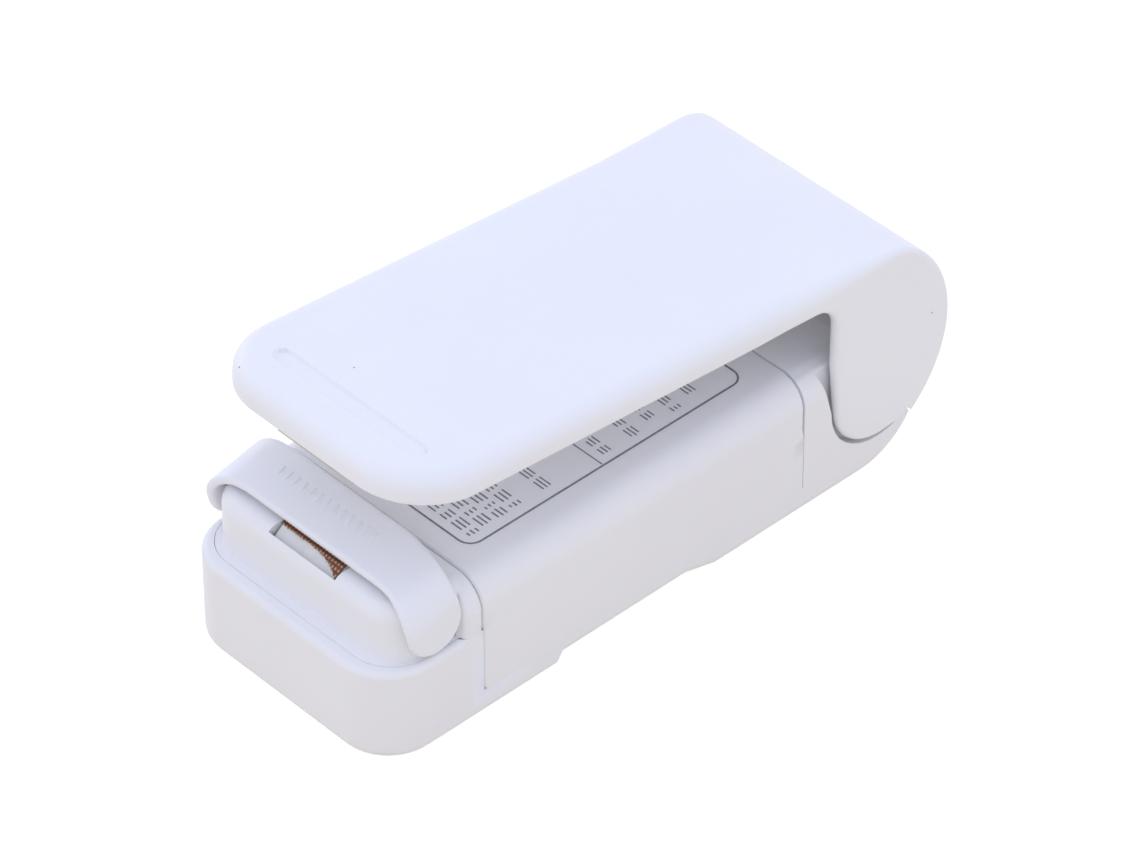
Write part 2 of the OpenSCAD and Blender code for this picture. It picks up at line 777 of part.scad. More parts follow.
// What is kept of that form, seen from the side
module arm_keep() {
  fillet = 3;
  rim_z = arm_top - arm_skirt / cos(arm_tilt) - tan(arm_tilt) * cheek_y;
  // skirt above the rim
  translate([0, arm_top]) rotate(-arm_tilt) translate([-20, -arm_skirt]) square([150, 60]);
  // cheeks, whose front edge leans back down to the round end
  polygon([from_pivot(180, cheek_r), [cheek_y, case_h], [cheek_y, big], [big, big], [big, pivot_z]]);
  translate([pivot_y, pivot_z]) circle(cheek_r);
  polygon([[pivot_y, pivot_z], from_pivot(arm_lip_angle, 30), [big, 0], [big, pivot_z]]);
  // hollow corner between rim and cheek
  difference() {
    translate([cheek_y - fillet, rim_z - fillet]) square([fillet + 0.5, fillet + 0.6]);
    translate([cheek_y - fillet, rim_z - fillet]) circle(fillet);
  }
}

module arm_shell() {
  inner_x = arm_w / 2 - arm_side_t;
  rib_y = [20, 66];
  rib_pitch = 15.33;
  grip_u = 11.9;
  grip_x = 11.3;
  grip_r = 1.2;
  grip_d = 0.3;
  color(white_arm) in_frame() difference() {
    union() {
      intersection() {
        difference() {
          arm_form(0, 0, arm_edge, roll_edge);
          arm_form(wall, arm_side_t, 0.5, 0.5);
          // between the cheeks the rear wall ends just above the case's lip
          along_x(-core_x - 0.3, core_x + 0.3)
            polygon([[pivot_y, pivot_z], from_pivot(arm_lip_angle, 30), [60, -10], [60, pivot_z]]);
        }
        along_x(-big, big) arm_keep();
      }
      // inner bosses at the hinge
      both_sides() rod_x(core_x + 0.1, inner_x + 0.2, pivot_y, pivot_z, 4);
      // stiffening ribs under the top
      on_arm() {
        both_sides() box([8.5, 9.5], rib_y, [-arm_skirt + 0.4, -wall + 0.2]);
        for (u = [rib_y[0] : rib_pitch : rib_y[1]])
          box([-inner_x - 0.2, inner_x + 0.2], [u - 0.5, u + 0.5], [-arm_skirt + 0.6, -wall + 0.2]);
      }
    }
    // blind holes for the hinge pin
    rod_x(-pin_x - 0.1, pin_x + 0.1, pivot_y, pivot_z, pin_r + run);
    // shallow grip line across the top
    on_arm() translate([0, grip_u, -grip_d]) {
      box([-grip_x, grip_x], [-grip_r, grip_r], [0, 5]);
      both_sides() translate([grip_x, 0, 0]) cylinder(h = 5, r = grip_r);
    }
  }
}

// Silicone strip, drawn where it meets the heater, swung up with the arm and cut to its underside
module presser_pad() {
  fillet = 0.6;                  // clear of the rounding inside the arm's front wall
  pad_y = [4, 4.9];
  pad_z = [tip_z + 0.05, 26];
  color([0.78, 0.76, 0.72]) in_frame() intersection() {
    translate([0, pivot_y, pivot_z]) rotate([-arm_travel, 0, 0])
      translate([0, -pivot_y, -pivot_z]) box([-6.5, 6.5], pad_y, pad_z);
    on_arm() {
      box([-20, 20], [0, 30], [-20, -wall - fillet]);
      box([-20, 20], [arm_u0 + wall + fillet, 30], [-20, -wall]);
    }
  }
}

lower_case();
upper_cover();
nose_cover();
case_screws();
battery_door();
battery_left();
battery_right();
contact_positive();
contact_negative();
contact_bridge();
wire_red();
wire_black();
feed_plate();
switch_blade_in();
switch_blade_out();
heater_carrier();
heater_block();
heating_element();
release_tape();
switch_bridge();
feed_springs();
safety_guard();
hinge_pin();
arm_spring();
arm_shell();
presser_pad();
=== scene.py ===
# %% [markdown]
# # A hand-held bag heat sealer, dressed
#
# The sealer is a pocket tool. A white case holds two AA cells, a short hot strip sits at its nose
# under a swinging guard, and a long sprung arm presses a bag on to that strip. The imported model
# already fixes every size and joint, so nothing is measured again here: each cell makes one piece
# or one finish in the same frame, in metres.
#
# Broad moulded faces are worked out with numpy as surfaces, because smooth plastic shows every
# flat of a coarse mesh. Pieces whose main shape is already right are copied and get soft edges.

import json
import math

import bmesh
import bpy
import numpy as np
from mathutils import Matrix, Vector


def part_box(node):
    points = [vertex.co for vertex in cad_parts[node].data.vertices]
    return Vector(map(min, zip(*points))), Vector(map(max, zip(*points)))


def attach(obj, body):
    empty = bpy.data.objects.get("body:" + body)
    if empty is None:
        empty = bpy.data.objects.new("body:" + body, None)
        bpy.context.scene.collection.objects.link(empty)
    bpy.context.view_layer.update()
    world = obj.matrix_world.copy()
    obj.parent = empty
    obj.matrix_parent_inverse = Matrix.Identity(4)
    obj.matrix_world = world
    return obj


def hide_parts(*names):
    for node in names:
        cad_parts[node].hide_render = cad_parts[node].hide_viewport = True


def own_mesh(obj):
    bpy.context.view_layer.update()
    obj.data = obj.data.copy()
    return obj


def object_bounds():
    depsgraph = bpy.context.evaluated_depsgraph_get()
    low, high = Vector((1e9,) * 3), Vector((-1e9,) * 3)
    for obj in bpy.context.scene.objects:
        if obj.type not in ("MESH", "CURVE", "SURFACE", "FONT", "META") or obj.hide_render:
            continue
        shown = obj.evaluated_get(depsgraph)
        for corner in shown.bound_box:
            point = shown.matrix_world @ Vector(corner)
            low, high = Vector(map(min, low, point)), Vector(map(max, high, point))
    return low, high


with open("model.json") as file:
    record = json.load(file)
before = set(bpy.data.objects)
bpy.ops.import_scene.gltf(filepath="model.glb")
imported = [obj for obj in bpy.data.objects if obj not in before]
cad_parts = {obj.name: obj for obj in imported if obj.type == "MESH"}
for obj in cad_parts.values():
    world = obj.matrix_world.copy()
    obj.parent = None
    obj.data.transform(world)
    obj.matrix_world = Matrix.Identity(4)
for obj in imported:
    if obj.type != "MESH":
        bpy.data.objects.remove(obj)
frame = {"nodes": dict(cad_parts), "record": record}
cad_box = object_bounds()
scene = bpy.context.scene
scene.view_settings.view_transform = "Standard"
print("CAD box", cad_box)

# %% [markdown]
# The case's drawing counts millimetres back from its front wall and up from the table. Keeping
# those numbers makes each cell readable beside the drawing, so one function moves points from the
# drawing to the frame. Bodies come from the record, so a piece rides with the node it stands for.

# %% From the drawing's millimetres to the frame's metres
MM = 0.001
FRONT_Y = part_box("lower_case")[0][1]
BODY_OF = {
    node: body
    for body, nodes in frame["record"]["behaviour"]["bodies"].items()
    for node in nodes
}


def placed(points):
    """Millimetres from the case's front wall, centre line and underside, as frame metres."""
    return np.asarray(points, float) * MM + np.array([0, FRONT_Y, 0])


print("front wall at y =", FRONT_Y)

# %% [markdown]
# A surface is a grid of points, one row per station along the piece and one column per step
# across it. Each cell of the grid becomes a four-sided face, so all faces come from one small
# array sum. Parts of one piece are put together and their shared seams welded.

# %% Grids, meshes and pieces
WELD_AT, SHARP_FROM = 4e-6, math.radians(40)


def grid_faces(rows, cols, start=0, closed=False):
    """Faces of a grid: point (i, j) is start + i * cols + j, each face joins four neighbours."""
    i, j = np.meshgrid(np.arange(rows - 1), np.arange(cols if closed else cols - 1), indexing="ij")
    k, here, after = (j + 1) % cols, i * cols, (i + 1) * cols
    return (start + np.stack([here + j, here + k, after + k, after + j], -1)).reshape(-1, 4)


def weld(mesh, distance=WELD_AT):
    """Merges points closer than the distance and turns all faces outwards."""
    bm = bmesh.new()
    bm.from_mesh(mesh)
    bmesh.ops.remove_doubles(bm, verts=bm.verts, dist=distance)
    bmesh.ops.dissolve_degenerate(bm, dist=distance / 4, edges=bm.edges)
    bmesh.ops.recalc_face_normals(bm, faces=bm.faces)
    for face in bm.faces:
        face.smooth = True
    bm.to_mesh(mesh)
    bm.free()
    mesh.set_sharp_from_angle(angle=SHARP_FROM)


def linked(name, data):
    """A new object in the scene."""
    obj = bpy.data.objects.new(name, data)
    scene.collection.objects.link(obj)
    return obj


def surface_object(name, grids, rings=(), caps=(), merge=WELD_AT):
    """One mesh from grids of drawing points; rings close across, caps are single outlines."""
    points, faces, start = [], [], 0
    for grid, closed in [(g, False) for g in grids] + [(g, True) for g in rings]:
        rows, cols = grid.shape[:2]
        points.append(grid.reshape(-1, 3))
        faces += grid_faces(rows, cols, start, closed).tolist()
        start += rows * cols
    for outline in caps:
        points.append(outline)
        faces.append(list(range(start, start + len(outline))))
        start += len(outline)
    mesh = bpy.data.meshes.new(name)
    mesh.from_pydata(placed(np.concatenate(points)).tolist(), [], faces)
    weld(mesh, merge)
    print(name, len(mesh.polygons), "faces")
    return linked(name, mesh)


def stands_for(obj, node):
    """The object takes a drawn node's place and rides on its body."""
    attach(obj, BODY_OF[node])
    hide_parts(node)
    return obj


def piece(name, grids, node, rings=(), caps=()):
    """A surface that stands for a drawn node."""
    return stands_for(surface_object(name, grids, rings, caps), node)


def addition(name, grids, body, rings=()):
    """A detail the drawing doesn't have, such as printed ink, riding on a body."""
    obj = surface_object(name, grids, rings, merge=1e-6)
    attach(obj, body)
    return obj


# %% [markdown]
# A moulded part has no razor edges, because the tool can't be cut that sharp and the plastic
# shrinks. The case's flat-sided pieces keep the drawing's mesh: a copy is merged, its flat faces
# are joined up, and only edges sharper than a limit get a narrow round. Weighted normals keep the
# large faces flat to the eye.

# %% Soft-edged copies of drawn pieces


def softened(node, width=0.25, angle=30, keep=None, reshape=None):
    """Copy of a node with its sharp edges rounded by width mm; keep picks edges left sharp."""
    mesh = frame["nodes"][node].data.copy()
    obj = linked(node + "_soft", mesh)
    bm = bmesh.new()
    bm.from_mesh(mesh)
    bmesh.ops.remove_doubles(bm, verts=bm.verts, dist=2e-6)
    bmesh.ops.dissolve_limit(bm, angle_limit=math.radians(1), verts=bm.verts, edges=bm.edges)
    if reshape:
        reshape(bm)
    round_off = []
    for edge in bm.edges:
        if len(edge.link_faces) == 2 and edge.calc_face_angle(0) > math.radians(angle):
            ends = [(v.co - Vector((0, FRONT_Y, 0))) / MM for v in edge.verts]
            if keep and keep(*ends):
                edge.smooth = False
            else:
                round_off.append(edge)
    bmesh.ops.bevel(bm, geom=round_off, offset=width * MM, offset_type="OFFSET", segments=2,
                    profile=0.5, affect="EDGES", clamp_overlap=True)
    for face in bm.faces:
        face.smooth = True
    bm.to_mesh(mesh)
    bm.free()
    even = obj.modifiers.new("even_shading", "WEIGHTED_NORMAL")
    even.keep_sharp, even.weight, even.thresh = True, 100, 0.0001
    print(obj.name, len(round_off), "edges rounded,", len(mesh.polygons), "faces")
    return stands_for(obj, node)


def radians_to(degrees, steps):
    """Evenly spaced angles from 0 to a number of degrees."""
    return np.radians(np.linspace(0, degrees, steps))


def smooth(t):
    """Eases from 0 to 1 with level ends."""
    t = np.clip(t, 0, 1)
    return t * t * (3 - 2 * t)


# %% [markdown]
# The case rests on two feet with a finger rest between them, and its lower edge keeps the same
# 1.8 mm round up and over the rest. The drawing cuts the rest straight through that round, so
# the copy is sliced along the edge and its points drawn in to where the round should be. At the
# front the rim's round also dies out as it reaches the cover, so that both sides run on as one.

# %% Reshape the case's copy: rest and rim
CASE_X, BOTTOM_R, CASE_RIM_R = 18.0, 1.8, 0.85
RAIL_Z, LEDGE_Z = 4.0, 13.5
REST_Y, REST_UP, REST_SPAN = (27.4, 28.3, 48.5, 53.5), 1.35, (24.0, 60.0)
RIM_FADE, RIM_END = (12.2, 13.3), 15.5
SEAM_Y, SEAM_JOG = 15.3, 0.3


def low_side(face):
    """The sides' lower round along the finger rest."""
    return (min(v.co.z for v in face.verts) < 3 * MM
            and max(abs(v.co.x) for v in face.verts) > 16.3 * MM
            and REST_SPAN[0] < (face.calc_center_median().y - FRONT_Y) / MM < REST_SPAN[1])


def rim_side(face):
    """The rim of the front block on both sides, up to the cover."""
    return (max(v.co.z for v in face.verts) > 12.5 * MM
            and max(abs(v.co.x) for v in face.verts) > 17 * MM
            and min(v.co.y for v in face.verts) < FRONT_Y + 15 * MM)


def sliced(bm, axis, places, within=None):
    """Cuts all faces, or those within a region, by planes across an axis: points to move."""
    normal = Vector((0, 0, 0))
    normal[axis] = 1
    for place in places:
        spot = Vector(placed([place if k == axis else 0 for k in range(3)]))
        faces = [f for f in bm.faces if within is None or within(f)]
        edges = {e for f in faces for e in f.edges}
        verts = {v for f in faces for v in f.verts}
        bmesh.ops.bisect_plane(bm, geom=[*faces, *edges, *verts], dist=1e-7, plane_co=spot,
                               plane_no=normal)


def reshape_case(bm):
    """x is held to the round's outline: 16.2 + 1.8 sqrt(1 - ((base + 1.8 - z) / 1.8) ** 2)."""
    sliced(bm, 1, REST_SPAN)
    sliced(bm, 2, np.arange(0.15, 3.4, 0.25), low_side)
    sliced(bm, 1, [*np.linspace(*REST_Y[:2], 5), *np.linspace(*REST_Y[2:], 9)], low_side)
    sliced(bm, 1, np.linspace(*RIM_FADE, 6), rim_side)
    co = np.array([v.co for v in bm.verts]) / MM - [0, FRONT_Y / MM, 0]
    x, y, z = np.abs(co[:, 0]), co[:, 1], co[:, 2]
    base = REST_UP * np.interp(y, REST_Y, (0, 1, 1, 0))
    hang = np.clip((base + BOTTOM_R - z) / BOTTOM_R, 0, 1)
    limit = CASE_X - BOTTOM_R + BOTTOM_R * np.sqrt(1 - hang ** 2)
    straight = (y > REST_SPAN[0]) & (y < REST_SPAN[1]) & (x > CASE_X - BOTTOM_R)
    x = np.where(straight, np.minimum(x, limit), x)
    in_rim = (z > LEDGE_Z - CASE_RIM_R - 0.01) & (z < LEDGE_Z + 0.01)
    at_rim = (y > RIM_FADE[0]) & (y < RIM_END) & (x > 17.1) & in_rim
    fade = smooth((y - RIM_FADE[0]) / (RIM_FADE[1] - RIM_FADE[0]))
    x = np.where(at_rim, x + (CASE_X - x) * fade, x)
    # below the ledge the front seam steps a little further back
    at_seam = (x > 15.9) & (np.abs(y - SEAM_Y) < 0.06) & (z > RAIL_Z - 0.1) & (z < LEDGE_Z + 0.05)
    y = np.where(at_seam, y + SEAM_JOG, y)
    for vert, new in zip(bm.verts, placed(np.stack([np.sign(co[:, 0]) * x, y, z], -1))):
        vert.co = new


def seams_left_sharp(a, b):
    """Edges where pieces run on as one face, and the crisp rim of the pockets at the hinge."""
    y, z = sorted((a.y, b.y)), sorted((a.z, b.z))
    on_rail = RAIL_Z - 0.05 < z[0] and z[1] < RAIL_Z + 0.05
    on_side = min(abs(a.x), abs(b.x)) > 17
    at_rear = 67.4 < y[0] and y[1] < 67.9 and z[1] < 14
    at_ledge = LEDGE_Z - 0.2 < z[0] and z[1] < LEDGE_Z + 0.2 and y[0] > 13.2
    at_pocket = y[0] > 68.2 and z[1] > 2.5
    return on_rail or at_pocket or (on_side and (at_rear or at_ledge))


lower_case = softened("lower_case", 0.3, keep=seams_left_sharp, reshape=reshape_case)
nose_cover = softened("nose_cover", 0.3, keep=seams_left_sharp)
battery_door = softened("battery_door", 0.2)
presser_pad = softened("presser_pad", 0.15)
heater_carrier = softened("heater_carrier", 0.15)

# %% [markdown]
# ## The press arm
#
# The arm is one moulding and most of what is seen: a flat top that rolls over at the back into
# two cheeks round the hinge. It could be a subdivided cage, but a cage can't hold both the even
# roll and the exact 37 mm width. So it is drawn as the mould maker would: a spine seen from the
# side, a lower line that pairs with it, and one cross-section that is carried round the plan.

# %% The arm's own directions, and its spine
ARM_TOP, ARM_TILT = 40.0, math.radians(5)
ARM_COS, ARM_SIN = math.cos(ARM_TILT), math.sin(ARM_TILT)
HALF_WIDTH, FRONT_U, CORNER_R = 18.5, 5.2, 9.5
SKIRT, TOP_T, SIDE_T, FRONT_T = 3.73, 1.8, 1.5, 1.8
ROLL_R, BLEND_R = 16.5, 8.0
CORNER_X, CORNER_U = HALF_WIDTH - CORNER_R, FRONT_U + CORNER_R
PIVOT, ROLL_AT = np.array([80.5, 13.1]), np.array([75.3, 18.5])
CHEEK_R, CHEEK_Y, LIP_R, LIP_ANGLE = 7.6, 72.2, 9.02, -52.0
LIP_DIR = np.array([math.cos(math.radians(LIP_ANGLE)), math.sin(math.radians(LIP_ANGLE))])


def arm_points(x, u, v):
    """u runs along the arm's top and v rises off it: both turned by the arm's tilt."""
    y, z = u * ARM_COS + v * ARM_SIN, ARM_TOP - u * ARM_SIN + v * ARM_COS
    return np.stack(np.broadcast_arrays(x, y, z), -1)


def to_arm(y, z):
    """The reverse: a point of the side view in the arm's own u and v."""
    z = z - ARM_TOP
    return np.stack([y * ARM_COS - z * ARM_SIN, y * ARM_SIN + z * ARM_COS], -1)


ROLL_UV = to_arm(*ROLL_AT)
lean = math.acos((-BLEND_R - ROLL_UV[1]) / (ROLL_R - BLEND_R))
FLAT_END = ROLL_UV[0] + (ROLL_R - BLEND_R) * math.sin(lean)
ROLL_FROM = FLAT_END + BLEND_R * lean
lip_lean = math.atan2(*(to_arm(*(PIVOT + LIP_R * LIP_DIR)) - ROLL_UV))
SPINE_END = ROLL_FROM + ROLL_R * (lip_lean - lean)


def spine(s):
    """Outer line of the side view: straight, then an arc of 8 mm, then the roll of 16.5 mm."""
    turn = np.clip((s - FLAT_END) / BLEND_R, 0, lean) + np.clip((s - ROLL_FROM) / ROLL_R, 0, None)
    rolled = s > ROLL_FROM
    centre_u = np.where(rolled, ROLL_UV[0], np.minimum(s, FLAT_END))
    centre_v = np.where(rolled, ROLL_UV[1], -BLEND_R)
    radius = np.where(rolled, ROLL_R, BLEND_R)
    normal = np.stack([np.sin(turn), np.cos(turn)], -1)
    return np.stack([centre_u, centre_v], -1) + radius[:, None] * normal, normal


print("arm spine is %.1f mm long" % (SPINE_END - FRONT_U))

# %% The arm's lower line: rim, hollow corner, cheek front, round end
FILLET_R, CHEEK_STRAIGHT_Z = 3.6, 20.4


def rim_at(y):
    """Height of the arm's lower rim at y."""
    return ARM_TOP - SKIRT / ARM_COS - math.tan(ARM_TILT) * y


fillet_y = CHEEK_Y - FILLET_R
fillet_c = np.array([fillet_y, rim_at(fillet_y) - FILLET_R / ARM_COS])


def arc(centre, radius, start, end, steps):
    """Points on an arc of the side view and its outward directions, in degrees."""
    a = np.radians(np.linspace(start, end, steps))
    out = np.stack([np.cos(a), np.sin(a)], -1)
    return centre + radius * out, out


def lower_line(start_y):
    """Lower edge from the rim to the lip as (points, inward directions), in the drawing's y, z."""
    rim_y = np.linspace(start_y, fillet_y + 0.2, 14)[:-1]
    rim = np.stack([rim_y, rim_at(rim_y)], -1)
    up = np.tile([ARM_SIN, ARM_COS], (len(rim), 1))
    hollow, hollow_out = arc(fillet_c, FILLET_R, 85, 0, 14)
    corner = [CHEEK_Y, CHEEK_STRAIGHT_Z]
    front = np.linspace([CHEEK_Y, hollow[-1, 1]], corner, 8)[1:]
    leaning = np.linspace(corner, [PIVOT[0] - CHEEK_R, PIVOT[1]], 8)[1:-1]
    round_end, round_out = arc(PIVOT, CHEEK_R, 180, 360 + LIP_ANGLE, 44)
    points = np.concatenate([rim, hollow, front, leaning, round_end])
    inward = np.concatenate([up, hollow_out, np.tile([1, 0], (7, 1)), np.tile([1, 0.1], (6, 1)),
                             -round_out])
    return points, inward / np.linalg.norm(inward, axis=1)[:, None]


PAIR_FROM = 60.0
low_points, low_inward = lower_line(PAIR_FROM * ARM_COS)
low_len = np.concatenate([[0], np.cumsum(np.linalg.norm(np.diff(low_points, axis=0), axis=1))])
print("lower line has", len(low_points), "points over %.1f mm" % low_len[-1])

# %% [markdown]
# Every station of the arm pairs a place on the spine with one on the lower line. Up to the
# hinge they sit one below the other. Round the hinge the two are matched by the share of their
# length, and past the last point of the round end the spine goes on alone to the lip.

# %% The arm's stations: side, corner and front
STRAIGHT_STEPS, CORNER_STEPS, ACROSS, LIP_STEPS = 10, 84, 64, 22
reach = (CHEEK_R - (ROLL_AT - PIVOT) @ LIP_DIR) / ROLL_R
turn_at_lip = math.pi / 2 - (math.radians(LIP_ANGLE) + math.acos(reach)) + ARM_TILT
FAN_FROM = ROLL_FROM + ROLL_R * (turn_at_lip - lean)

share = low_len / low_len[-1]
side_s = np.concatenate([PAIR_FROM + share * (FAN_FROM - PAIR_FROM),
                         np.linspace(FAN_FROM, SPINE_END, LIP_STEPS)[1:]])
side_low = np.concatenate([low_points, np.tile(low_points[-1], (LIP_STEPS - 1, 1))])
side_in = np.concatenate([low_inward, np.tile(low_inward[-1], (LIP_STEPS - 1, 1))])
straight_s = np.linspace(PAIR_FROM, CORNER_U, STRAIGHT_STEPS + 2)[1:-1]


def flat_to_frame(direction):
    """A (u, v) direction of the arm as (x, y, z)."""
    u, v = direction[..., 0], direction[..., 1]
    return np.stack([0 * u, u * ARM_COS + v * ARM_SIN, -u * ARM_SIN + v * ARM_COS], -1)


def at_x(x, loop):
    """A side view of (y, z) points stood at x."""
    return np.column_stack([np.full(len(loop), float(x)), loop])


UP = flat_to_frame(np.array([0.0, 1.0]))


def arm_stations():
    """Top corner, its normal, outward direction, low corner and its inward, from lip to front."""
    top_uv, top_n = spine(side_s)
    side = [arm_points(HALF_WIDTH, *top_uv.T), flat_to_frame(top_n),
            np.tile([1.0, 0, 0], (len(top_uv), 1)), at_x(HALF_WIDTH, side_low), at_x(0, side_in)]
    angle = radians_to(90, CORNER_STEPS)
    out_x = np.concatenate([np.ones(STRAIGHT_STEPS), np.cos(angle), np.zeros(ACROSS)])
    out_u = np.concatenate([np.zeros(STRAIGHT_STEPS), -np.sin(angle), -np.ones(ACROSS)])
    plan_x = CORNER_X + CORNER_R * out_x
    plan_x[-ACROSS:] = CORNER_X * (1 - np.arange(1, ACROSS + 1) / ACROSS)
    plan_u = CORNER_U + CORNER_R * out_u
    plan_u[:STRAIGHT_STEPS] = straight_s
    out = flat_to_frame(np.stack([out_u, 0 * out_u], -1)) + out_x[:, None] * [1, 0, 0]
    up = np.tile(UP, (len(plan_x), 1))
    front = [arm_points(plan_x, plan_u, 0), up, out, arm_points(plan_x, plan_u, -SKIRT), up]
    return [np.concatenate([a[::-1], b]) for a, b in zip(side, front)]


TOP, TOP_N, OUT, LOW, LOW_IN = arm_stations()
STATIONS = len(TOP)
FRONT_START = STATIONS - ACROSS - 1
print(STATIONS, "stations, the front edge from", FRONT_START)

# %% [markdown]
# The cross-section is the same everywhere: a round top edge, a straight skirt, a rim with two
# small rounds, the inside of the skirt and a small round into the underside. Only its sizes
# change. The top edge is 2.2 mm round at the front and almost sharp round the hinge, and the
# rounds die out at the lip, where the wall simply ends.

# %% The arm's cross-section carried along its stations
EDGE_R, ROLL_EDGE_R, RIM_R, HINGE_RIM_R, INNER_R = 2.2, 0.6, 0.45, 0.72, 0.5
EDGE_EASE, RIM_EASE = (66, 22), (58, 8)


def fan(centre, first, second, radius, steps):
    """Quarter round at each station: centre + radius (first cos a + second sin a)."""
    a = radians_to(90, steps)
    return centre[:, None] + radius[:, None, None] * (
        first[:, None] * np.cos(a)[None, :, None] + second[:, None] * np.sin(a)[None, :, None])


def arm_sections():
    """All points of the section, stations by steps, with the top's and underside's borders."""
    along = np.concatenate([side_s[::-1], np.full(STATIONS - len(side_s), 0.0)])
    edge = EDGE_R + (ROLL_EDGE_R - EDGE_R) * smooth((along - EDGE_EASE[0]) / EDGE_EASE[1])
    fade = 1 - 0.98 * smooth((along - FAN_FROM + 5) / 4)
    rim = fade * (RIM_R + (HINGE_RIM_R - RIM_R) * smooth((along - RIM_EASE[0]) / RIM_EASE[1]))
    inner = INNER_R * fade
    thick = SIDE_T + (FRONT_T - SIDE_T) * (1 - OUT[:, 0])
    e, r, t, f = edge[:, None], rim[:, None], thick[:, None], inner[:, None]
    inside = TOP - t * OUT - TOP_T * TOP_N
    wall_top, wall_low = TOP - e * TOP_N, LOW + r * LOW_IN
    inner_low, inner_top = LOW - t * OUT + r * LOW_IN, inside - f * TOP_N
    down = np.linspace(0, 1, 8)[None, 1:-1, None]
    outer_wall = wall_top[:, None] * (1 - down) + wall_low[:, None] * down
    inner_wall = inner_low[:, None] * (1 - down) + inner_top[:, None] * down
    return np.concatenate([
        fan(TOP - e * OUT - e * TOP_N, TOP_N, OUT, edge, 11),
        outer_wall,
        fan(LOW - r * OUT + r * LOW_IN, OUT, -LOW_IN, rim, 5),
        fan(LOW - (t - r) * OUT + r * LOW_IN, -LOW_IN, -OUT, rim, 5),
        inner_wall,
        fan(inside - f * OUT - f * TOP_N, OUT, TOP_N, inner, 4),
    ], 1)


def across_to_middle(border):
    """Rows from a border point straight across to the centre line, x shrinking evenly to 0."""
    k = 1 - np.arange(ACROSS + 1) / ACROSS
    rows = np.repeat(border[:, None], ACROSS + 1, 1)
    rows[..., 0] = border[:, None, 0] * k
    return rows


section = arm_sections()
outer_top = across_to_middle(section[:FRONT_START + 1, 0])
under_top = across_to_middle(section[:FRONT_START + 1, -1])
print("section of", section.shape[1], "points")

# %% [markdown]
# Across the front of the top runs a finger line: a shallow slot, 25 mm by 2.4 mm and only
# 0.4 mm deep, with round ends. It is pressed into the surface by moving the points down by how
# far they lie inside the slot's outline, so it has a soft shoulder like the moulded one.

# %% Press the finger line into the top
LINE_U, LINE_X, LINE_R, LINE_DEPTH, SHOULDER = 11.9, 11.3, 1.2, 0.4, 0.2
top_u = to_arm(outer_top[..., 1], outer_top[..., 2])[..., 0]
from_line = np.hypot(np.maximum(np.abs(outer_top[..., 0]) - LINE_X, 0), top_u - LINE_U)
depth = LINE_DEPTH * smooth((LINE_R + 0.1 - from_line) / SHOULDER)
outer_top -= depth[..., None] * UP
print("finger line %.2f mm deep" % depth.max())

# %% [markdown]
# Under the top are the ribs that stop the thin plate from bending, and at the hinge two round
# bosses take the steel pin. A rib is a slim bar with a rounded lower edge; a boss is a ring
# turned about the hinge line.

# %% The arm's ribs and hinge bosses
RIB_RANGE, RIB_PITCH, RIB_X, RIB_HALF = (20.0, 66.0), 15.33, 9.0, 0.5
BOSS_X, BOSS_R, PIN_HOLE_R = 16.5, 4.0, 1.55


def rounded_loop(x0, x1, y0, y1, r, steps=4):
    """Outline of a rounded rectangle, a quarter arc at each corner."""
    corners = (x1 - r, y1 - r), (x0 + r, y1 - r), (x0 + r, y0 + r), (x1 - r, y0 + r)
    return np.concatenate([arc(c, r, 90 * q, 90 * q + 90, steps)[0] for q, c in enumerate(corners)])


def bar(low, high, turn_into, radius=0.3):
    """Closed bar: a rounded rectangle in (a, b), swept along its length c."""
    loop = rounded_loop(low[0], high[0], low[1], high[1], radius)
    middle = (np.array(low[:2]) + np.array(high[:2])) / 2
    ends = (low[2], 0), (low[2], 1), (high[2], 1), (high[2], 0)
    return np.stack([turn_into(*(middle + (loop - middle) * size).T, np.full(len(loop), c))
                     for c, size in ends])


def turned(outline, steps, centre):
    """An outline of (x, radius) pairs turned once about the hinge line."""
    a = np.linspace(0, 2 * math.pi, steps, endpoint=False)
    x, r = outline[:, None, 0], outline[:, None, 1]
    return np.stack([x + 0 * a, centre[0] + r * np.cos(a), centre[1] + r * np.sin(a)], -1)


inner_half, rib_top = HALF_WIDTH - SIDE_T, -TOP_T + 0.3
extras = [bar((x - RIB_HALF, -SKIRT + 0.4, RIB_RANGE[0]), (x + RIB_HALF, rib_top, RIB_RANGE[1]),
              lambda a, b, c: arm_points(a, c, b)) for x in (RIB_X, -RIB_X)]
extras += [bar((u - RIB_HALF, -SKIRT + 0.6, -inner_half - 0.2),
               (u + RIB_HALF, rib_top, inner_half + 0.2), lambda a, b, c: arm_points(c, a, b))
           for u in np.arange(RIB_RANGE[0], RIB_RANGE[1] + 0.1, RIB_PITCH)]
boss = np.array([[inner_half + 0.3, 0.0], [inner_half + 0.3, BOSS_R], [BOSS_X + 0.15, BOSS_R],
                 [BOSS_X, BOSS_R - 0.15], [BOSS_X, PIN_HOLE_R], [BOSS_X, 0.0]])
extras += [turned(boss * [side, 1], 48, PIVOT) for side in (1, -1)]
print(len(extras), "ribs and bosses")

# %% Put the arm together
mirror = np.array([-1, 1, 1])
lip_outline = section[0]
halves = []
for side in (np.ones(3), mirror):
    halves += [section * side, outer_top * side, under_top * side,
               np.stack([outer_top[0], under_top[0]]) * side]
arm = piece("arm_shell_moulded", halves, "arm_shell", rings=extras,
            caps=[lip_outline, lip_outline * mirror])

# %% [markdown]
# ## The battery cover
#
# A U-shaped moulding that drops over the two cells. Its section never changes, so it is one
# closed outline carried along the case, shrunk a little at each end for the moulded round. The
# lower edges stay sharp, because there the cover meets the rail in one continuous face.

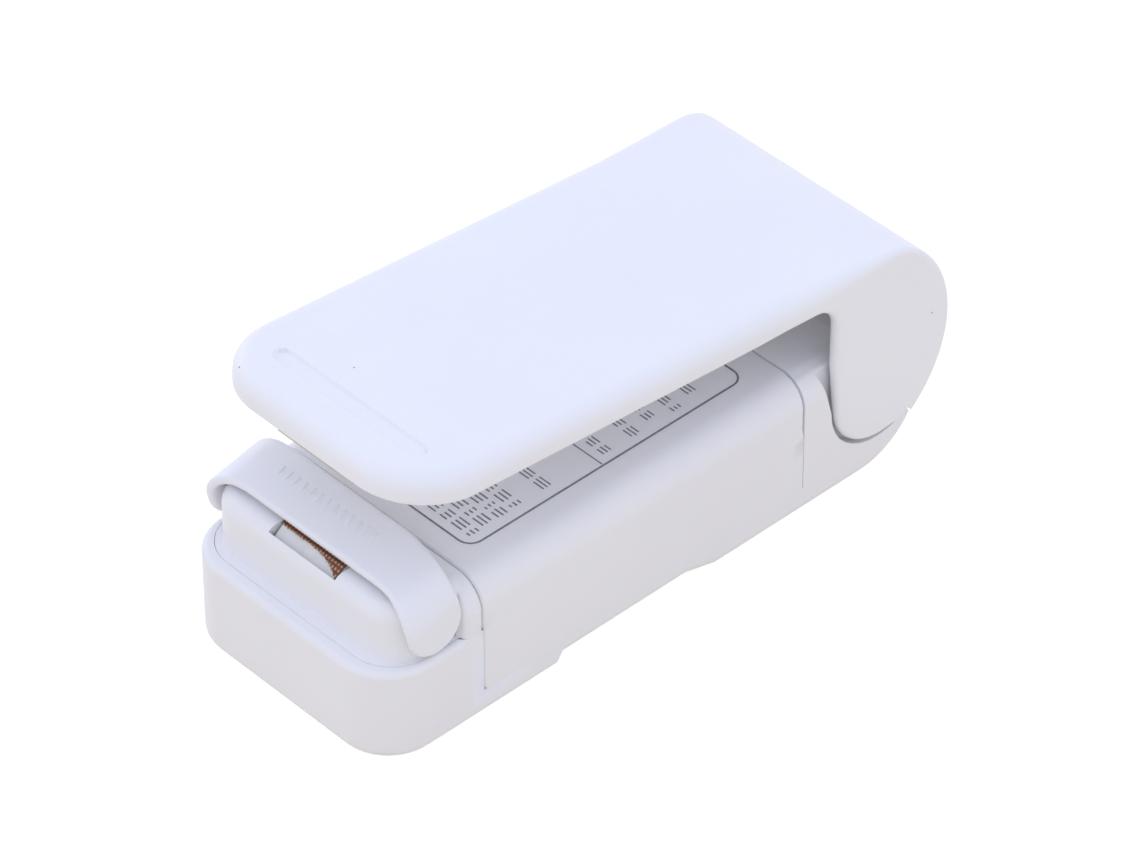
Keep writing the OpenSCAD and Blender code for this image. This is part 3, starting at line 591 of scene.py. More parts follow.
# %% The cover
CASE_TOP, SHOULDER_R, WALL = 20.4, 4.0, 1.8
COVER_Y, END_R, TIGHT_Y = (15.5, 67.55), 0.35, 67.64
SEAM_SLACK, LOW_STEP, REAR_STEP = 0.09, 0.3, 0.1
SHOULDER_AT = (CASE_X - SHOULDER_R, CASE_TOP - SHOULDER_R)


def u_outline(inset):
    """Half outline (x, z) of outer and inner faces with the material inset on both by a bit."""
    up = np.concatenate([RAIL_Z + np.array([0, 0.12, 0.25, 0.5, 1.5, 4, 7.5, 8.6]),
                         LEDGE_Z + np.array([-0.25, 0, 0.2])])
    across = np.linspace(SHOULDER_AT[0], 0, 20)[1:]

    def face(offset):
        side = np.stack(np.broadcast_arrays(CASE_X - offset, up), -1)
        turn = arc(SHOULDER_AT, SHOULDER_R - offset, 0, 90, 18)[0]
        top = np.stack(np.broadcast_arrays(across, CASE_TOP - offset), -1)
        return np.concatenate([side, turn, top])

    return face(inset), face(WALL - inset)


def cover_rows():
    """Stations (y, inset): a quarter round at both ends of a straight run."""
    a = radians_to(90, 6)
    y0 = COVER_Y[0] + END_R * (1 - np.sin(a))
    inset = END_R * (1 - np.cos(a))
    run = np.linspace(COVER_Y[0] + END_R, COVER_Y[1] - END_R, 24)[1:-1]
    ys = np.concatenate([y0[::-1], run, sum(COVER_Y) - y0])
    return zip(ys, np.concatenate([inset[::-1], 0 * run, inset]))


def cover_row(y, inset):
    """One closed outline; its ends step to follow the seams: closer up below the ledge."""
    outer, inner = (np.concatenate([half, half[-2::-1] * [-1, 1]]) for half in u_outline(inset))
    x, z = np.concatenate([outer, inner[::-1]]).T
    below = smooth((LEDGE_Z + 0.1 - z) / 0.3)
    # low on the sides the rear end closes right up to the case
    tight = smooth((LEDGE_Z - z) / 1.5) * (y > COVER_Y[1] - END_R - 0.01)
    at_front = (y < COVER_Y[0] + END_R + 0.01) * (np.abs(x) > 15.9)
    jog = (SEAM_JOG - SEAM_SLACK) * below + LOW_STEP * smooth((RAIL_Z + 0.5 - z) / 0.5)
    back = REAR_STEP * (1 - below) * (y < COVER_Y[0] + 0.3)
    along = y + (TIGHT_Y - y) * tight + at_front * jog + back
    return np.stack([x + np.sign(x) * inset * tight * (np.abs(x) > CASE_X - 0.5), along, z], -1)


cover_ring = np.stack([cover_row(y, inset) for y, inset in cover_rows()])
half = cover_ring.shape[1] // 2
ends = [np.stack([cover_ring[k, :half], cover_ring[k, half:][::-1]]) for k in (0, -1)]
cell_rib = bar((-1.2, 15.8, COVER_Y[0] + 3), (1.2, CASE_TOP - WALL + 0.5, COVER_Y[1] - 3),
               lambda a, b, c: np.stack([a, c, b], -1))
cover = piece("upper_cover_moulded", ends, "upper_cover", rings=[cover_ring, cell_rib])

# %% [markdown]
# ## The safety guard
#
# A thin band arches over the nose and ends in two round tongues that swing on stub pins. It is
# drawn as a flat strip and then bent over the nose: rings shrink from the strip's outline to its
# middle line, and the outermost rings follow a small round, so every edge is soft.

# %% The guard's outline, unrolled
GUARD_PIVOT, GUARD_TILT = np.array([8.6, 18.0]), math.radians(11.7)
BAND_X, BAND_TOP, BAND_T, BEND_R, TONGUE_R = 17.95, 5.29, 1.2, 4.5, 3.9
FRONT_EDGE, REAR_EDGE, REAR_FALL = 2.25, 5.55, (11.5, 8)
SIDE_RUN = BAND_TOP - BEND_R
HALF_BAND = SIDE_RUN + BEND_R * math.pi / 2 + (BAND_X - BEND_R)


def on_band(s, y, lift):
    """s from the middle of the top (0) down a side, y across the band, lift off its outside."""
    side, s = np.sign(s), np.abs(s)
    flat = BAND_X - BEND_R
    turn = np.clip((s - flat) / BEND_R, 0, math.pi / 2)
    drop = np.clip(s - flat - BEND_R * math.pi / 2, 0, None)
    x = np.minimum(s, flat) + (BEND_R + lift) * np.sin(turn)
    up = SIDE_RUN + (BEND_R + lift) * np.cos(turn) - drop
    # turned by the band's tilt about the pivot
    c, q = math.cos(GUARD_TILT), math.sin(GUARD_TILT)
    there = GUARD_PIVOT[0] + y * c - up * q
    return np.stack([side * x, there, GUARD_PIVOT[1] + y * q + up * c], -1)


def guard_outline():
    """Closed outline (s, y) and the middle-line point each part shrinks to."""
    flat = BAND_X - BEND_R
    run = np.concatenate([np.linspace(-HALF_BAND, -flat, 34)[:-1], np.linspace(-flat, flat, 60),
                          np.linspace(flat, HALF_BAND, 34)[1:]])
    from_middle = np.abs(run)
    front = -FRONT_EDGE - (TONGUE_R - FRONT_EDGE) * smooth((from_middle - 11) / 9)
    fall_from = np.where(run < 0, *REAR_FALL)
    rear = REAR_EDGE + (TONGUE_R - REAR_EDGE) * smooth((from_middle - fall_from) / 11.3)
    a = np.linspace(0, math.pi, 26)[1:-1]
    cap = np.stack([HALF_BAND + TONGUE_R * np.sin(a), -TONGUE_R * np.cos(a)], -1)
    there, back, mid = (np.stack([run, y], -1) for y in (front, rear, (front + rear) / 2))
    hub = np.tile([HALF_BAND, 0], (len(a), 1))
    return (np.concatenate([there, cap, back[::-1], -cap]),
            np.concatenate([mid, hub, mid[::-1], -hub]))


outline, middle = guard_outline()
print("band is %.1f mm from tongue to tongue" % (2 * HALF_BAND))

# %% Round its edges, bend it over, and add the grip ticks
EDGE = 0.5


def guard_rings():
    """Rings from the middle of the outside, round the rim, to the middle of the inside."""
    toward = middle - outline
    length = np.linalg.norm(toward, axis=1)[:, None]
    toward = toward / length
    flat = [EDGE + (length - EDGE) * k for k in np.linspace(1, 0, 8)[:-1]]
    rim = [(EDGE * (1 - math.sin(t)), EDGE * (1 - math.cos(t))) for t in radians_to(90, 7)]
    steps = [(inset, 0.0) for inset in flat] + [(inset, -drop) for inset, drop in rim]
    steps += [(inset, drop - BAND_T) for drop, inset in rim]
    steps += [(inset, -BAND_T) for inset in flat[::-1]]
    return np.stack([on_band(*(outline + toward * inset).T, lift) for inset, lift in steps])


def bead(centre_s, half_s, half_y, middle_y, height):
    """Raised tick: a flattened dome, round in plan, its edge sunk just below the band."""
    a = np.linspace(0, 2 * math.pi, 20, endpoint=False)
    k = np.linspace(0, 1, 6)[:, None]
    reach = np.sqrt(np.cos(a) ** 4 + np.sin(a) ** 4) ** -0.5
    s = centre_s + half_s * k * reach * np.cos(a)
    y = middle_y + half_y * k * reach * np.sin(a)
    return on_band(s, y, height * (1 - k ** 4) - 0.05 * k ** 4 + 0 * a)


TICKS, TICK_FROM, TICK_PITCH = 13, -10.1, 1.33
TICK = {"half_s": 0.22, "half_y": 0.84, "middle_y": 2.22, "height": 0.15}
STUB_X, STUB_R = (14.9, 17.1), 1.5
beads = [bead(TICK_FROM + TICK_PITCH * i, **TICK) for i in range(TICKS)]
stub = np.array([[STUB_X[0], 0], [STUB_X[0], STUB_R - 0.15], [STUB_X[0] + 0.15, STUB_R],
                 [STUB_X[1], STUB_R], [STUB_X[1], 0]])
stubs = [turned(stub * [side, 1], 32, GUARD_PIVOT) for side in (1, -1)]
guard = piece("safety_guard_band", [], "safety_guard", rings=[guard_rings()] + beads + stubs)

# %% [markdown]
# Behind each tongue the nose cover swells out to the cover's full width. The drawing steps there
# in one flat face; the moulding rounds over it, which keeps the slot behind the tongue light.
# A quarter ellipse is carried up the side and dies away round the shoulder.

# %% The rounds behind the tongues
ROUND_IN, ROUND_FORWARD, ROUND_Y, ROUND_BACK_Y = 1.45, 0.8, 13.42, 13.44


def tongue_round(side):
    """Quarter ellipse: in by 1.45 (1 - cos a) and forward by 0.8 sin a, up the nose's outline."""
    up = np.linspace(LEDGE_Z - 0.02, SHOULDER_AT[1], 10)[:-1]
    turned_by = np.linspace(0, 80, 22)
    over, over_out = arc(SHOULDER_AT, SHOULDER_R, 0, 80, 22)
    line = np.concatenate([np.stack(np.broadcast_arrays(CASE_X, up), -1), over])[:, None]
    out = np.concatenate([np.tile([1.0, 0.0], (len(up), 1)), over_out])[:, None]
    size = np.concatenate([np.ones(len(up)), 1 - smooth((turned_by - 30) / 45)])[:, None]
    a = radians_to(90, 12)[None]
    x, z = np.moveaxis(line - out * (ROUND_IN * (1 - np.cos(a)) * size)[..., None], -1, 0)
    front = np.stack([side * x, ROUND_Y - ROUND_FORWARD * np.sin(a) * size, z], -1)
    back = front.copy()
    back[..., 1] = ROUND_BACK_Y
    return np.concatenate([front, back[:, ::-1]], 1)


shoulders = addition("nose_shoulder_rounds", [], "case",
                     rings=[tongue_round(side) for side in (1, -1)])

# %% [markdown]
# ## The hot tip
#
# The tip is a white insulating strip with a hair-thin ribbon over its top and a brown glass cloth
# taped over both, so that plastic bags don't stick. The cloth's front edge was cut by hand: it
# runs back along the strip, swings forward over the right end, and frays. The strip is a block
# with a sloping front face; the cloth is a woven sheet with real thread relief.

# %% The white strip
TIP_X, TIP_Y, TIP_D, TIP_Z = (-5.45, 5.45), 3.95, 5.3, 21.2
STRIP_TOP = TIP_Z - 0.22
SLOPE_Y, SLOPE_Z, SLOPE_ROUND = 1.75, 1.45, 0.35
NECK_Z, FOOT_Z, FOOT_Y = 17.0, 14.4, 5.2
STRIP_END_R, STRIP_BACK_R, SHRINK_TO_Z = 0.35, 0.3, 17.6


def strip_fall(y):
    """How far the strip's front has dropped at y: a straight slope with a soft upper edge."""
    run = TIP_Y + SLOPE_Y - y
    soft = (run + np.sqrt(run * run + SLOPE_ROUND ** 2)) / 2
    return SLOPE_Z / SLOPE_Y * soft * np.clip((run + 1.2) / 1.2, 0, 1)


def strip_rows():
    """Side view (y, z) with its sloping front, swept from end to end with soft ends."""
    y = np.linspace(TIP_Y + 0.12, TIP_Y + SLOPE_Y + 1.3, 26)
    front = np.stack([y, STRIP_TOP - strip_fall(y)], -1)
    front = np.concatenate([[front[0] + [-0.12, -0.3], front[0] + [-0.08, -0.1]], front])
    y1, r = TIP_Y + TIP_D, STRIP_BACK_R
    back = arc((y1 - r, STRIP_TOP - r), r, 90, 0, 5)[0]
    loop = np.concatenate([[[TIP_Y, NECK_Z]], front, back,
                           [[y1, FOOT_Z], [FOOT_Y, FOOT_Z], [FOOT_Y, NECK_Z]]])
    c = radians_to(90, 6)
    ease, inset = STRIP_END_R * (1 - np.sin(c)), STRIP_END_R * (1 - np.cos(c))
    xs = np.concatenate([TIP_X[0] + ease[::-1], TIP_X[1] - ease])
    pull = np.array([(TIP_Y + y1) / 2, SHRINK_TO_Z]) - loop
    return np.stack([at_x(x, loop + np.clip(np.abs(pull), 0, d) * np.sign(pull))
                     for x, d in zip(xs, [*inset[::-1], *inset])])


strip = strip_rows()
strip_piece = piece("heater_strip", [], "heater_block", rings=[strip],
                    caps=[strip[0], strip[-1]])

# %% The glass cloth
CLOTH_STEP, CLOTH_T, CLOTH_LIFT = 0.06, 0.14, 0.06
THREAD, RELIEF, CLOTH_BEND, BACK_DROP = 0.27, 0.03, 0.5, 4.6
CUT_Y, SWING_FROM, SWING_RUN, SWING = 5.6, -1.6, 7.1, 1.5


def cloth_front(x):
    """How far back the cut edge lies: level at 5.6 mm, then swinging forward at the right end."""
    ragged = 0.03 * np.sin(x * 9.1) + 0.02 * np.sin(x * 21.7 + 1.3)
    return CUT_Y - SWING * np.clip((x - SWING_FROM) / SWING_RUN, 0, 1) ** 3 + ragged


def cloth_surface(lift):
    """Sheet over the strip's top and down its back, with woven relief added to its height."""
    x = np.arange(TIP_X[0] + 0.05, TIP_X[1], CLOTH_STEP)
    back_y, bend, start = TIP_Y + TIP_D + 0.3, CLOTH_BEND, cloth_front(x)
    over = back_y - start
    s = np.linspace(0, 1, 130)[:, None] * (over + BACK_DROP)
    turn = np.clip((s - over + bend) / (2 * bend), 0, 1) * math.pi / 2
    flat = s < over - bend
    along = np.where(flat, start + s, back_y - bend + bend * np.sin(turn))
    fall = np.where(s < over + bend, bend * (1 - np.cos(turn)), s - over)
    relief = lift + RELIEF * np.sin(2 * math.pi * x / THREAD) * np.sin(2 * math.pi * s / THREAD)
    # the sheet follows the strip's sloping front down
    z = TIP_Z - CLOTH_LIFT - np.where(flat, 0, fall) - strip_fall(along + 0.12)
    return np.stack([x + 0 * s, along + relief * np.sin(turn), z + relief * np.cos(turn)], -1)


def round_border(g):
    """The points round the rim of a grid, once."""
    return np.concatenate([g[0], g[1:, -1], g[-1, -2::-1], g[-2:0:-1, 0]])


def cloth_piece():
    """Upper and lower faces of the cloth, stitched together round the rim."""
    faces = [cloth_surface(0.0), cloth_surface(-CLOTH_T)]
    rim = np.stack([round_border(face) for face in faces])
    return piece("release_cloth", faces, "release_tape", rings=[rim])


cloth = cloth_piece()

# %% [markdown]
# Where the cloth was cut, single glass threads stand out from its edge. Each is a short tapered
# hair, and a seeded generator gives them their lengths and leans, the same on every run.

# %% The frayed threads
rng = np.random.default_rng(7)
FRAYS, HAIR_R = 46, 0.05


def frayed_threads():
    """Hairs of 0.05 mm radius: a six-sided ring carried along a bent line, fading to a point."""
    x = np.sort(rng.uniform(-4.6, 5.2, FRAYS))
    length = rng.uniform(0.1, 0.3, FRAYS)
    lean = rng.normal(0, 0.7, FRAYS)
    sag = rng.uniform(0.05, 0.22, FRAYS)
    t = np.linspace(0, 1, 5)
    a = np.linspace(0, 2 * math.pi, 6, endpoint=False)
    hairs = []
    for x0, run, side, drop in zip(x, length, lean, sag):
        y0 = cloth_front(x0) + 0.1
        y = np.maximum(y0 - run * t, TIP_Y + 0.1)
        centre = np.stack([x0 + side * run * t, y, TIP_Z - 0.07 - 0.3 * drop * t ** 2
                           - strip_fall(y + 0.1)], -1)
        radius = HAIR_R * (1 - 0.7 * t)
        hairs.append(centre[:, None] + radius[:, None, None] * np.stack(
            [np.cos(a), 0 * a, np.sin(a)], -1)[None])
    return hairs


frays = addition("release_cloth_threads", [], "heater", rings=frayed_threads())

# %% [markdown]
# The resistance ribbon lies between strip and cloth. It starts behind the sloping face, so only
# the cloth covers it, and it turns down the strip's back at both ends as the drawn one does.

# %% The ribbon
RIBBON_T, RIBBON_X, LEG_X = 0.08, 4.7, 3.5
BAND_Y, LEG_Y, LEG_DROP = (6.3, 7.0), (6.9, 9.25), 4.0


def ribbon_run(x0, x1, y0, y1, drop):
    """Flat ribbon lying on the strip's top, its far edge turned down by drop mm."""
    t = RIBBON_T
    loop = np.array([[y0, 0], [y0, t], [y1, t], [y1 + 0.07, t - 0.03], [y1 + 0.1, t - 0.1],
                     [y1 + 0.1, -drop], [y1 + 0.02, -drop], [y1 + 0.02, -0.02], [y1, 0]])
    return np.stack([at_x(x, loop + [0, STRIP_TOP]) for x in (x0, x1)])


heat_run = [ribbon_run(-RIBBON_X, RIBBON_X, *BAND_Y, 0.05),
            ribbon_run(-RIBBON_X, -LEG_X, *LEG_Y, LEG_DROP),
            ribbon_run(LEG_X, RIBBON_X, *LEG_Y, LEG_DROP)]
ribbon_piece = piece("resistance_ribbon", [], "heating_element", rings=heat_run,
                     caps=[end for run in heat_run for end in run])

# %% [markdown]
# Two coil springs stand under the carrier. They have one shape in the drawing, so a rigid copy
# would sink through the case as the tip goes down. The copy here is welded and keeps that shape.


def shortening_springs():
    """Welded copy of the coils, standing for the drawn springs and riding on their body."""
    mesh = frame["nodes"]["feed_springs"].data.copy()
    weld(mesh)
    obj = stands_for(linked("feed_springs_coiled", mesh), "feed_springs")
    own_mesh(obj)
    return obj


springs = shortening_springs()

# %% [markdown]
# ## The printed panel
#
# The cover carries a printed panel. Its words are left out; what stays is its plain frame, one
# dividing line and rows of hatched bars, set as thin layers of ink a few hundredths proud.

# %% The ink
INK_SUNK, INK_T, FRAME_WIDTH = -0.02, 0.03, 0.26
PANEL_X, PANEL_Y, PANEL_R = 12.35, (18.7, 63.3), 2.0
DIVIDER = (-12.0, 12.0, 40.0, 40.16)
BAR_LEVELS, BAR_SHARE = (0.0, 0.43, 0.86), 0.14


def ink_layer(levels):
    """Rows of points from outlines and their heights over the cover."""
    return np.stack([np.column_stack([loop, np.full(len(loop), CASE_TOP + z)])
                     for loop, z in levels])


def ink_frame(width):
    """A ribbon of ink between two rounded outlines, closed all round."""
    outer, inner = (rounded_loop(w - PANEL_X, PANEL_X - w, PANEL_Y[0] + w, PANEL_Y[1] - w,
                                 PANEL_R - w, 8) for w in (0, width))
    return ink_layer([(outer, INK_SUNK), (outer, INK_T), (inner, INK_T), (inner, INK_SUNK),
                      (outer, INK_SUNK)])


def ink_dash(x0, x1, y0, y1):
    """A small rounded bar of ink."""
    r = min(0.18, (y1 - y0) / 2 - 0.01, (x1 - x0) / 2 - 0.01)
    loop = rounded_loop(x0, x1, y0, y1, r, 3)
    middle = loop.mean(0) + 0 * loop
    return ink_layer([(middle, INK_SUNK), (loop, INK_SUNK), (loop, INK_T), (middle, INK_T)])


def dash_row(y, height, x0, x1):
    """A line of hatched bars of uneven length, like small print seen from afar."""
    dashes, x = [], x0
    while x < x1 - 1.0:
        run = min(float(rng.uniform(0.9, 2.3)), x1 - x)
        for level in BAR_LEVELS:
            left, right = rng.uniform(0, 0.3, 2)
            dashes.append(ink_dash(x + float(left), x + run - float(right), y + level * height,
                                   y + (level + BAR_SHARE) * height))
        x += run + float(rng.uniform(0.35, 0.55))
    return dashes


panel_ink = [ink_frame(FRAME_WIDTH), ink_dash(*DIVIDER)]
for ys, height, span in [((20.2, 22.5, 24.8, 27.1), 1.5, (-11.2, 11.4)),
                         ((32.0, 41.4, 46.0, 49.4, 52.8, 56.2), 1.3, (-10.8, 11.0))]:
    for y in ys:
        panel_ink += dash_row(y, height, *span)
print(len(panel_ink), "marks of ink")
ink = addition("panel_ink", [], "case", rings=panel_ink)

# %% [markdown]
# ## Finishes
#
# Colours are written as hex values, as a designer would note them, and one function turns them
# into the linear values that the shader works in. One more function adds any node with its
# settings and its links. Patterns take their place from the piece itself, so they move with it.

# %% Colour and node helpers


def linear(hex_colour):
    """sRGB hex to linear: the lower part is a straight line, the rest a power of 2.4."""
    c = np.array([int(hex_colour[i:i + 2], 16) / 255 for i in (1, 3, 5)])
    low, high = c / 12.92, ((c + 0.055) / 1.055) ** 2.4
    return (*np.where(c <= 0.04045, low, high).tolist(), 1.0)


def add(tree, kind, inputs=(), **settings):
    """Adds a node, sets its properties, and sets or links each named input."""
    node = tree.nodes.new(kind)
    for name, value in settings.items():
        setattr(node, name, value)
    for name, value in dict(inputs).items():
        if isinstance(value, bpy.types.NodeSocket):
            tree.links.new(value, node.inputs[name])
        else:
            node.inputs[name].default_value = value
    return node


def finish_named(name, **values):
    """A new material and its shader, with uniform values set on the shader itself."""
    material = bpy.data.materials.new(name)
    material.use_nodes = True
    shader = material.node_tree.nodes["Principled BSDF"]
    for socket, value in values.items():
        shader.inputs[socket.replace("_", " ")].default_value = value
    return material, material.node_tree, shader


def ramp_between(tree, factor, *stops):
    """A colour ramp from (position, hex) stops."""
    node = add(tree, "ShaderNodeValToRGB", {"Fac": factor})
    while len(node.color_ramp.elements) < len(stops):
        node.color_ramp.elements.new(0.5)
    for element, (position, colour) in zip(node.color_ramp.elements, stops):
        element.position, element.color = position, linear(colour)
    return node.outputs["Color"]


def on_piece(tree):
    """The piece's own coordinates, in metres."""
    return add(tree, "ShaderNodeTexCoord").outputs["Object"]


def noise(tree, place, size_mm, detail):
    """Smooth noise whose patches are about size_mm across."""
    return add(tree, "ShaderNodeTexNoise", {"Vector": place, "Scale": 1 / (size_mm * MM),
                                            "Detail": detail}).outputs["Fac"]


def bump(tree, height, strength, depth_mm, **under):
    """The normal of a relief depth_mm deep, laid over another normal if one is given."""
    return add(tree, "ShaderNodeBump", {"Height": height, "Strength": strength,
                                        "Distance": depth_mm * MM, **under}).outputs["Normal"]


def paint(tree, shader, colour, normal=None):
    """Links a colour, and a relief if there is one, to the shader."""
    tree.links.new(colour, shader.inputs["Base Color"])
    if normal:
        tree.links.new(normal, shader.inputs["Normal"])


# %% [markdown]
# Most of the sealer is injection-moulded ABS. It is opaque, faintly warm or cool by its pigment,
# and satin from a finely spark-eroded tool: the gloss is broken by a grain of a few hundredths of
# a millimetre. A slow waviness comes from shrinkage over the ribs, and a few dark specks are
# dust that was moulded in.

# %% Moulded ABS
CLOUD_MM, SPECK_MM, WAVE_MM, GRAIN_MM = 22, 7, 9, 0.35


def moulded_abs(name, base, shade, rough=0.42, specks=0.0):
    """Satin ABS: slow mottling, fine tool grain as bump, and rare specks of dust."""
    material, tree, shader = finish_named(name, Roughness=rough, IOR=1.53, Specular_IOR_Level=0.42,
                                          Subsurface_Weight=0.06, Subsurface_Scale=0.0012)
    place = on_piece(tree)
    colour = ramp_between(tree, noise(tree, place, CLOUD_MM, 3.0), (0.3, shade), (0.7, base))
    if specks:
        cells = add(tree, "ShaderNodeTexVoronoi", {"Vector": place, "Scale": 1 / (SPECK_MM * MM)})
        dot = add(tree, "ShaderNodeMath", {0: cells.outputs["Distance"], 1: specks},
                  operation="LESS_THAN")
        mix = add(tree, "ShaderNodeMix", {"Factor": dot.outputs[0], "A": colour,
                                          "B": linear("#8C8A8C")}, data_type="RGBA")
        colour = mix.outputs["Result"]
    slow = bump(tree, noise(tree, place, WAVE_MM, 1.0), 0.12, 0.08)
    grain = noise(tree, place, GRAIN_MM, 2.0)
    paint(tree, shader, colour, bump(tree, grain, 0.25, 0.012, Normal=slow))
    return material


abs_arm = moulded_abs("abs_moulded_arm", "#F7F8FB", "#F4F5F9", specks=0.018)
abs_case = moulded_abs("abs_moulded_case", "#F5F5F7", "#F2F2F5", specks=0.016)
abs_guard = moulded_abs("abs_moulded_guard", "#F4F5F9", "#F1F2F7", rough=0.38)
print("three ABS finishes")

# %% [markdown]
# The rest are small parts. Metals differ mostly by colour and by how they were made: bright wire
# for springs, rolled nickel strip for contacts, turned steel for the pin. The cells have a
# printed sleeve, the carrier is brown pressed board, and the pad is cast silicone.

# %% Metals


def rolled_metal(name, bright, dull, rough, lay_mm, along=(1, 1, 1)):
    """Metal with fine drawing or rolling marks: noise stretched along one direction."""
    material, tree, shader = finish_named(name, Metallic=1.0, Roughness=rough)
    stretch = add(tree, "ShaderNodeMapping", {"Vector": on_piece(tree), "Scale": along})
    marks = noise(tree, stretch.outputs["Vector"], lay_mm, 3.0)
    paint(tree, shader, ramp_between(tree, marks, (0.3, dull), (0.7, bright)),
          bump(tree, marks, 0.2, 0.01))
    return material


spring_wire = rolled_metal("spring_steel_drawn", "#D4D5D8", "#B9BBC0", 0.28, 0.3)
pin_turned = rolled_metal("stainless_steel_turned", "#CFD0D3", "#B4B6BA", 0.3, 0.15, (6, 1, 1))
screw_zinc = rolled_metal("steel_zinc_plated", "#C9CCD2", "#A9ADB6", 0.35, 0.4)
nickel = rolled_metal("nickel_strip_rolled", "#D2CCBF", "#BDB6A8", 0.33, 0.25, (1, 1, 8))
copper = rolled_metal("copper_strip_rolled", "#D69A74", "#B87650", 0.34, 0.25, (8, 1, 1))
ribbon = rolled_metal("resistance_ribbon_rolled", "#A9A6A2", "#86827E", 0.4, 0.2, (8, 1, 1))

# %% Cells, wires, board, ink, strip, cloth and pad


def mottled(name, light, dark, rough, size_mm, ior=1.5, relief_mm=0.0):
    """A plain material whose tone wanders over a real size, with optional relief."""
    material, tree, shader = finish_named(name, Roughness=rough, IOR=ior)
    cloud = noise(tree, on_piece(tree), size_mm, 4.0)
    paint(tree, shader, ramp_between(tree, cloud, (0.3, dark), (0.7, light)),
          bump(tree, cloud, 0.4, relief_mm) if relief_mm else None)
    return material


def printed_sleeve():
    """Shrink sleeve of a cell: dark body and a copper-toned band at the positive end."""
    material, tree, shader = finish_named("pvc_sleeve_printed", Roughness=0.25, IOR=1.54,
                                          Coat_Weight=0.3)
    split = add(tree, "ShaderNodeSeparateXYZ", {"Vector": on_piece(tree)})
    band = add(tree, "ShaderNodeMapRange", {"Value": split.outputs["Y"], "From Min": 12.4 * MM,
                                            "From Max": 12.6 * MM})
    paint(tree, shader, ramp_between(tree, band.outputs["Result"], (0.0, "#26282C"),
                                     (1.0, "#B98A56")))
    return material


def woven_glass():
    """PTFE-coated glass cloth: brown resin over crossing threads, lighter on the crowns."""
    material, tree, shader = finish_named("glass_cloth_ptfe_coated", Roughness=0.5, IOR=1.38)
    warp, weft = [add(tree, "ShaderNodeTexWave", {
        "Vector": on_piece(tree), "Scale": 1 / (THREAD * MM) / 6.3, "Distortion": 0.6},
        bands_direction=axis).outputs["Fac"] for axis in ("X", "Y")]
    weave = add(tree, "ShaderNodeMath", {0: warp, 1: weft}, operation="MULTIPLY").outputs[0]
    colour = ramp_between(tree, weave, (0.0, "#6B432F"), (0.35, "#94654A"), (1.0, "#D2A587"))
    paint(tree, shader, colour, bump(tree, weave, 0.5, 0.05))
    return material


sleeve = printed_sleeve()
glass_cloth = woven_glass()
glass_thread = mottled("glass_thread_loose", "#C9A187", "#8B5F47", 0.45, 0.3)
insulator = mottled("steatite_pressed", "#E6E6E3", "#DEDEDC", 0.55, 1.5, relief_mm=0.02)
board = mottled("phenolic_board_pressed", "#7A4E33", "#5E3A25", 0.5, 1.2, relief_mm=0.02)
silicone = mottled("silicone_cast", "#D3CEC4", "#C4BFB5", 0.5, 2.0, ior=1.43, relief_mm=0.03)
lead_red = mottled("pvc_wire_red", "#B8231F", "#9E1C19", 0.4, 3.0)
lead_black = mottled("pvc_wire_black", "#232326", "#17171A", 0.4, 3.0)
ink_grey = mottled("pad_print_grey", "#8B8D95", "#74767F", 0.55, 0.6)
print("small finishes made")

# %% Give every piece and every carried-over node its finish
FINISHES = [
    (screw_zinc, "case_screws"), (pin_turned, "hinge_pin"), (sleeve, "battery_left battery_right"),
    (nickel, "contact_positive contact_negative contact_bridge"),
    (lead_red, "wire_red"), (lead_black, "wire_black"),
    (copper, "feed_plate switch_blade_in switch_blade_out switch_bridge"),
    (spring_wire, "feed_springs arm_spring"), (ribbon, "heating_element"),
    (board, "heater_carrier"), (insulator, "heater_block"), (glass_cloth, "release_tape"),
    (silicone, "presser_pad"), (abs_guard, "safety_guard"), (abs_arm, "arm_shell"),
    (abs_case, "lower_case upper_cover nose_cover battery_door"),
]
FINISH_OF = {node: material for material, nodes in FINISHES for node in nodes.split()}
NEW_PIECES = [
    (arm, abs_arm, "arm_abs"), (cover, abs_case, "white_abs"), (guard, abs_guard, "guard_abs"),
    (lower_case, abs_case, "white_abs"), (nose_cover, abs_case, "white_abs"),
    (battery_door, abs_case, "white_abs"), (presser_pad, silicone, "silicone"),
    (heater_carrier, board, "phenolic"), (strip_piece, insulator, "heater_insulator"),
    (cloth, glass_cloth, "glass_cloth_tape"), (frays, glass_thread, "glass_cloth_tape"),
    (ribbon_piece, ribbon, "resistance_ribbon"), (shoulders, abs_case, "white_abs"),
    (ink, ink_grey, "white_abs"), (springs, spring_wire, "spring_steel"),
]


def dress(obj, material):
    """One finish over a whole object."""
    obj.data.materials.clear()
    obj.data.materials.append(material)


for node, material in FINISH_OF.items():
    dress(frame["nodes"][node], material)
for obj, material, slot in NEW_PIECES:
    dress(obj, material)
print(len(FINISH_OF), "nodes and", len(NEW_PIECES), "pieces finished")

# %% [markdown]
# ## Camera, floor and light
#
# The view is a product shot from high in front, with a long lens that keeps edges nearly
# parallel. The floor answers the camera with white but still takes a soft shadow, and the sky is
# a gentle vertical change, which is what gives white plastic its form.

# %% Camera
LENS, SENSOR, SHIFT = 193.9, 36.0, (-0.0023, 0.0007)
AZIMUTH, ELEVATION = math.radians(46.69), math.radians(40.38)
CAMERA_AT = (0.40524, -0.38128, 0.48831)
lens = bpy.data.cameras.new("view")
lens.lens, lens.sensor_width = LENS, SENSOR
lens.shift_x, lens.shift_y = SHIFT
camera = linked("view", lens)
level = math.cos(ELEVATION)
back = Vector((math.sin(AZIMUTH) * level, -math.cos(AZIMUTH) * level, math.sin(ELEVATION)))
camera.location = CAMERA_AT
camera.rotation_euler = back.to_track_quat("Z", "Y").to_euler()
scene.camera = camera

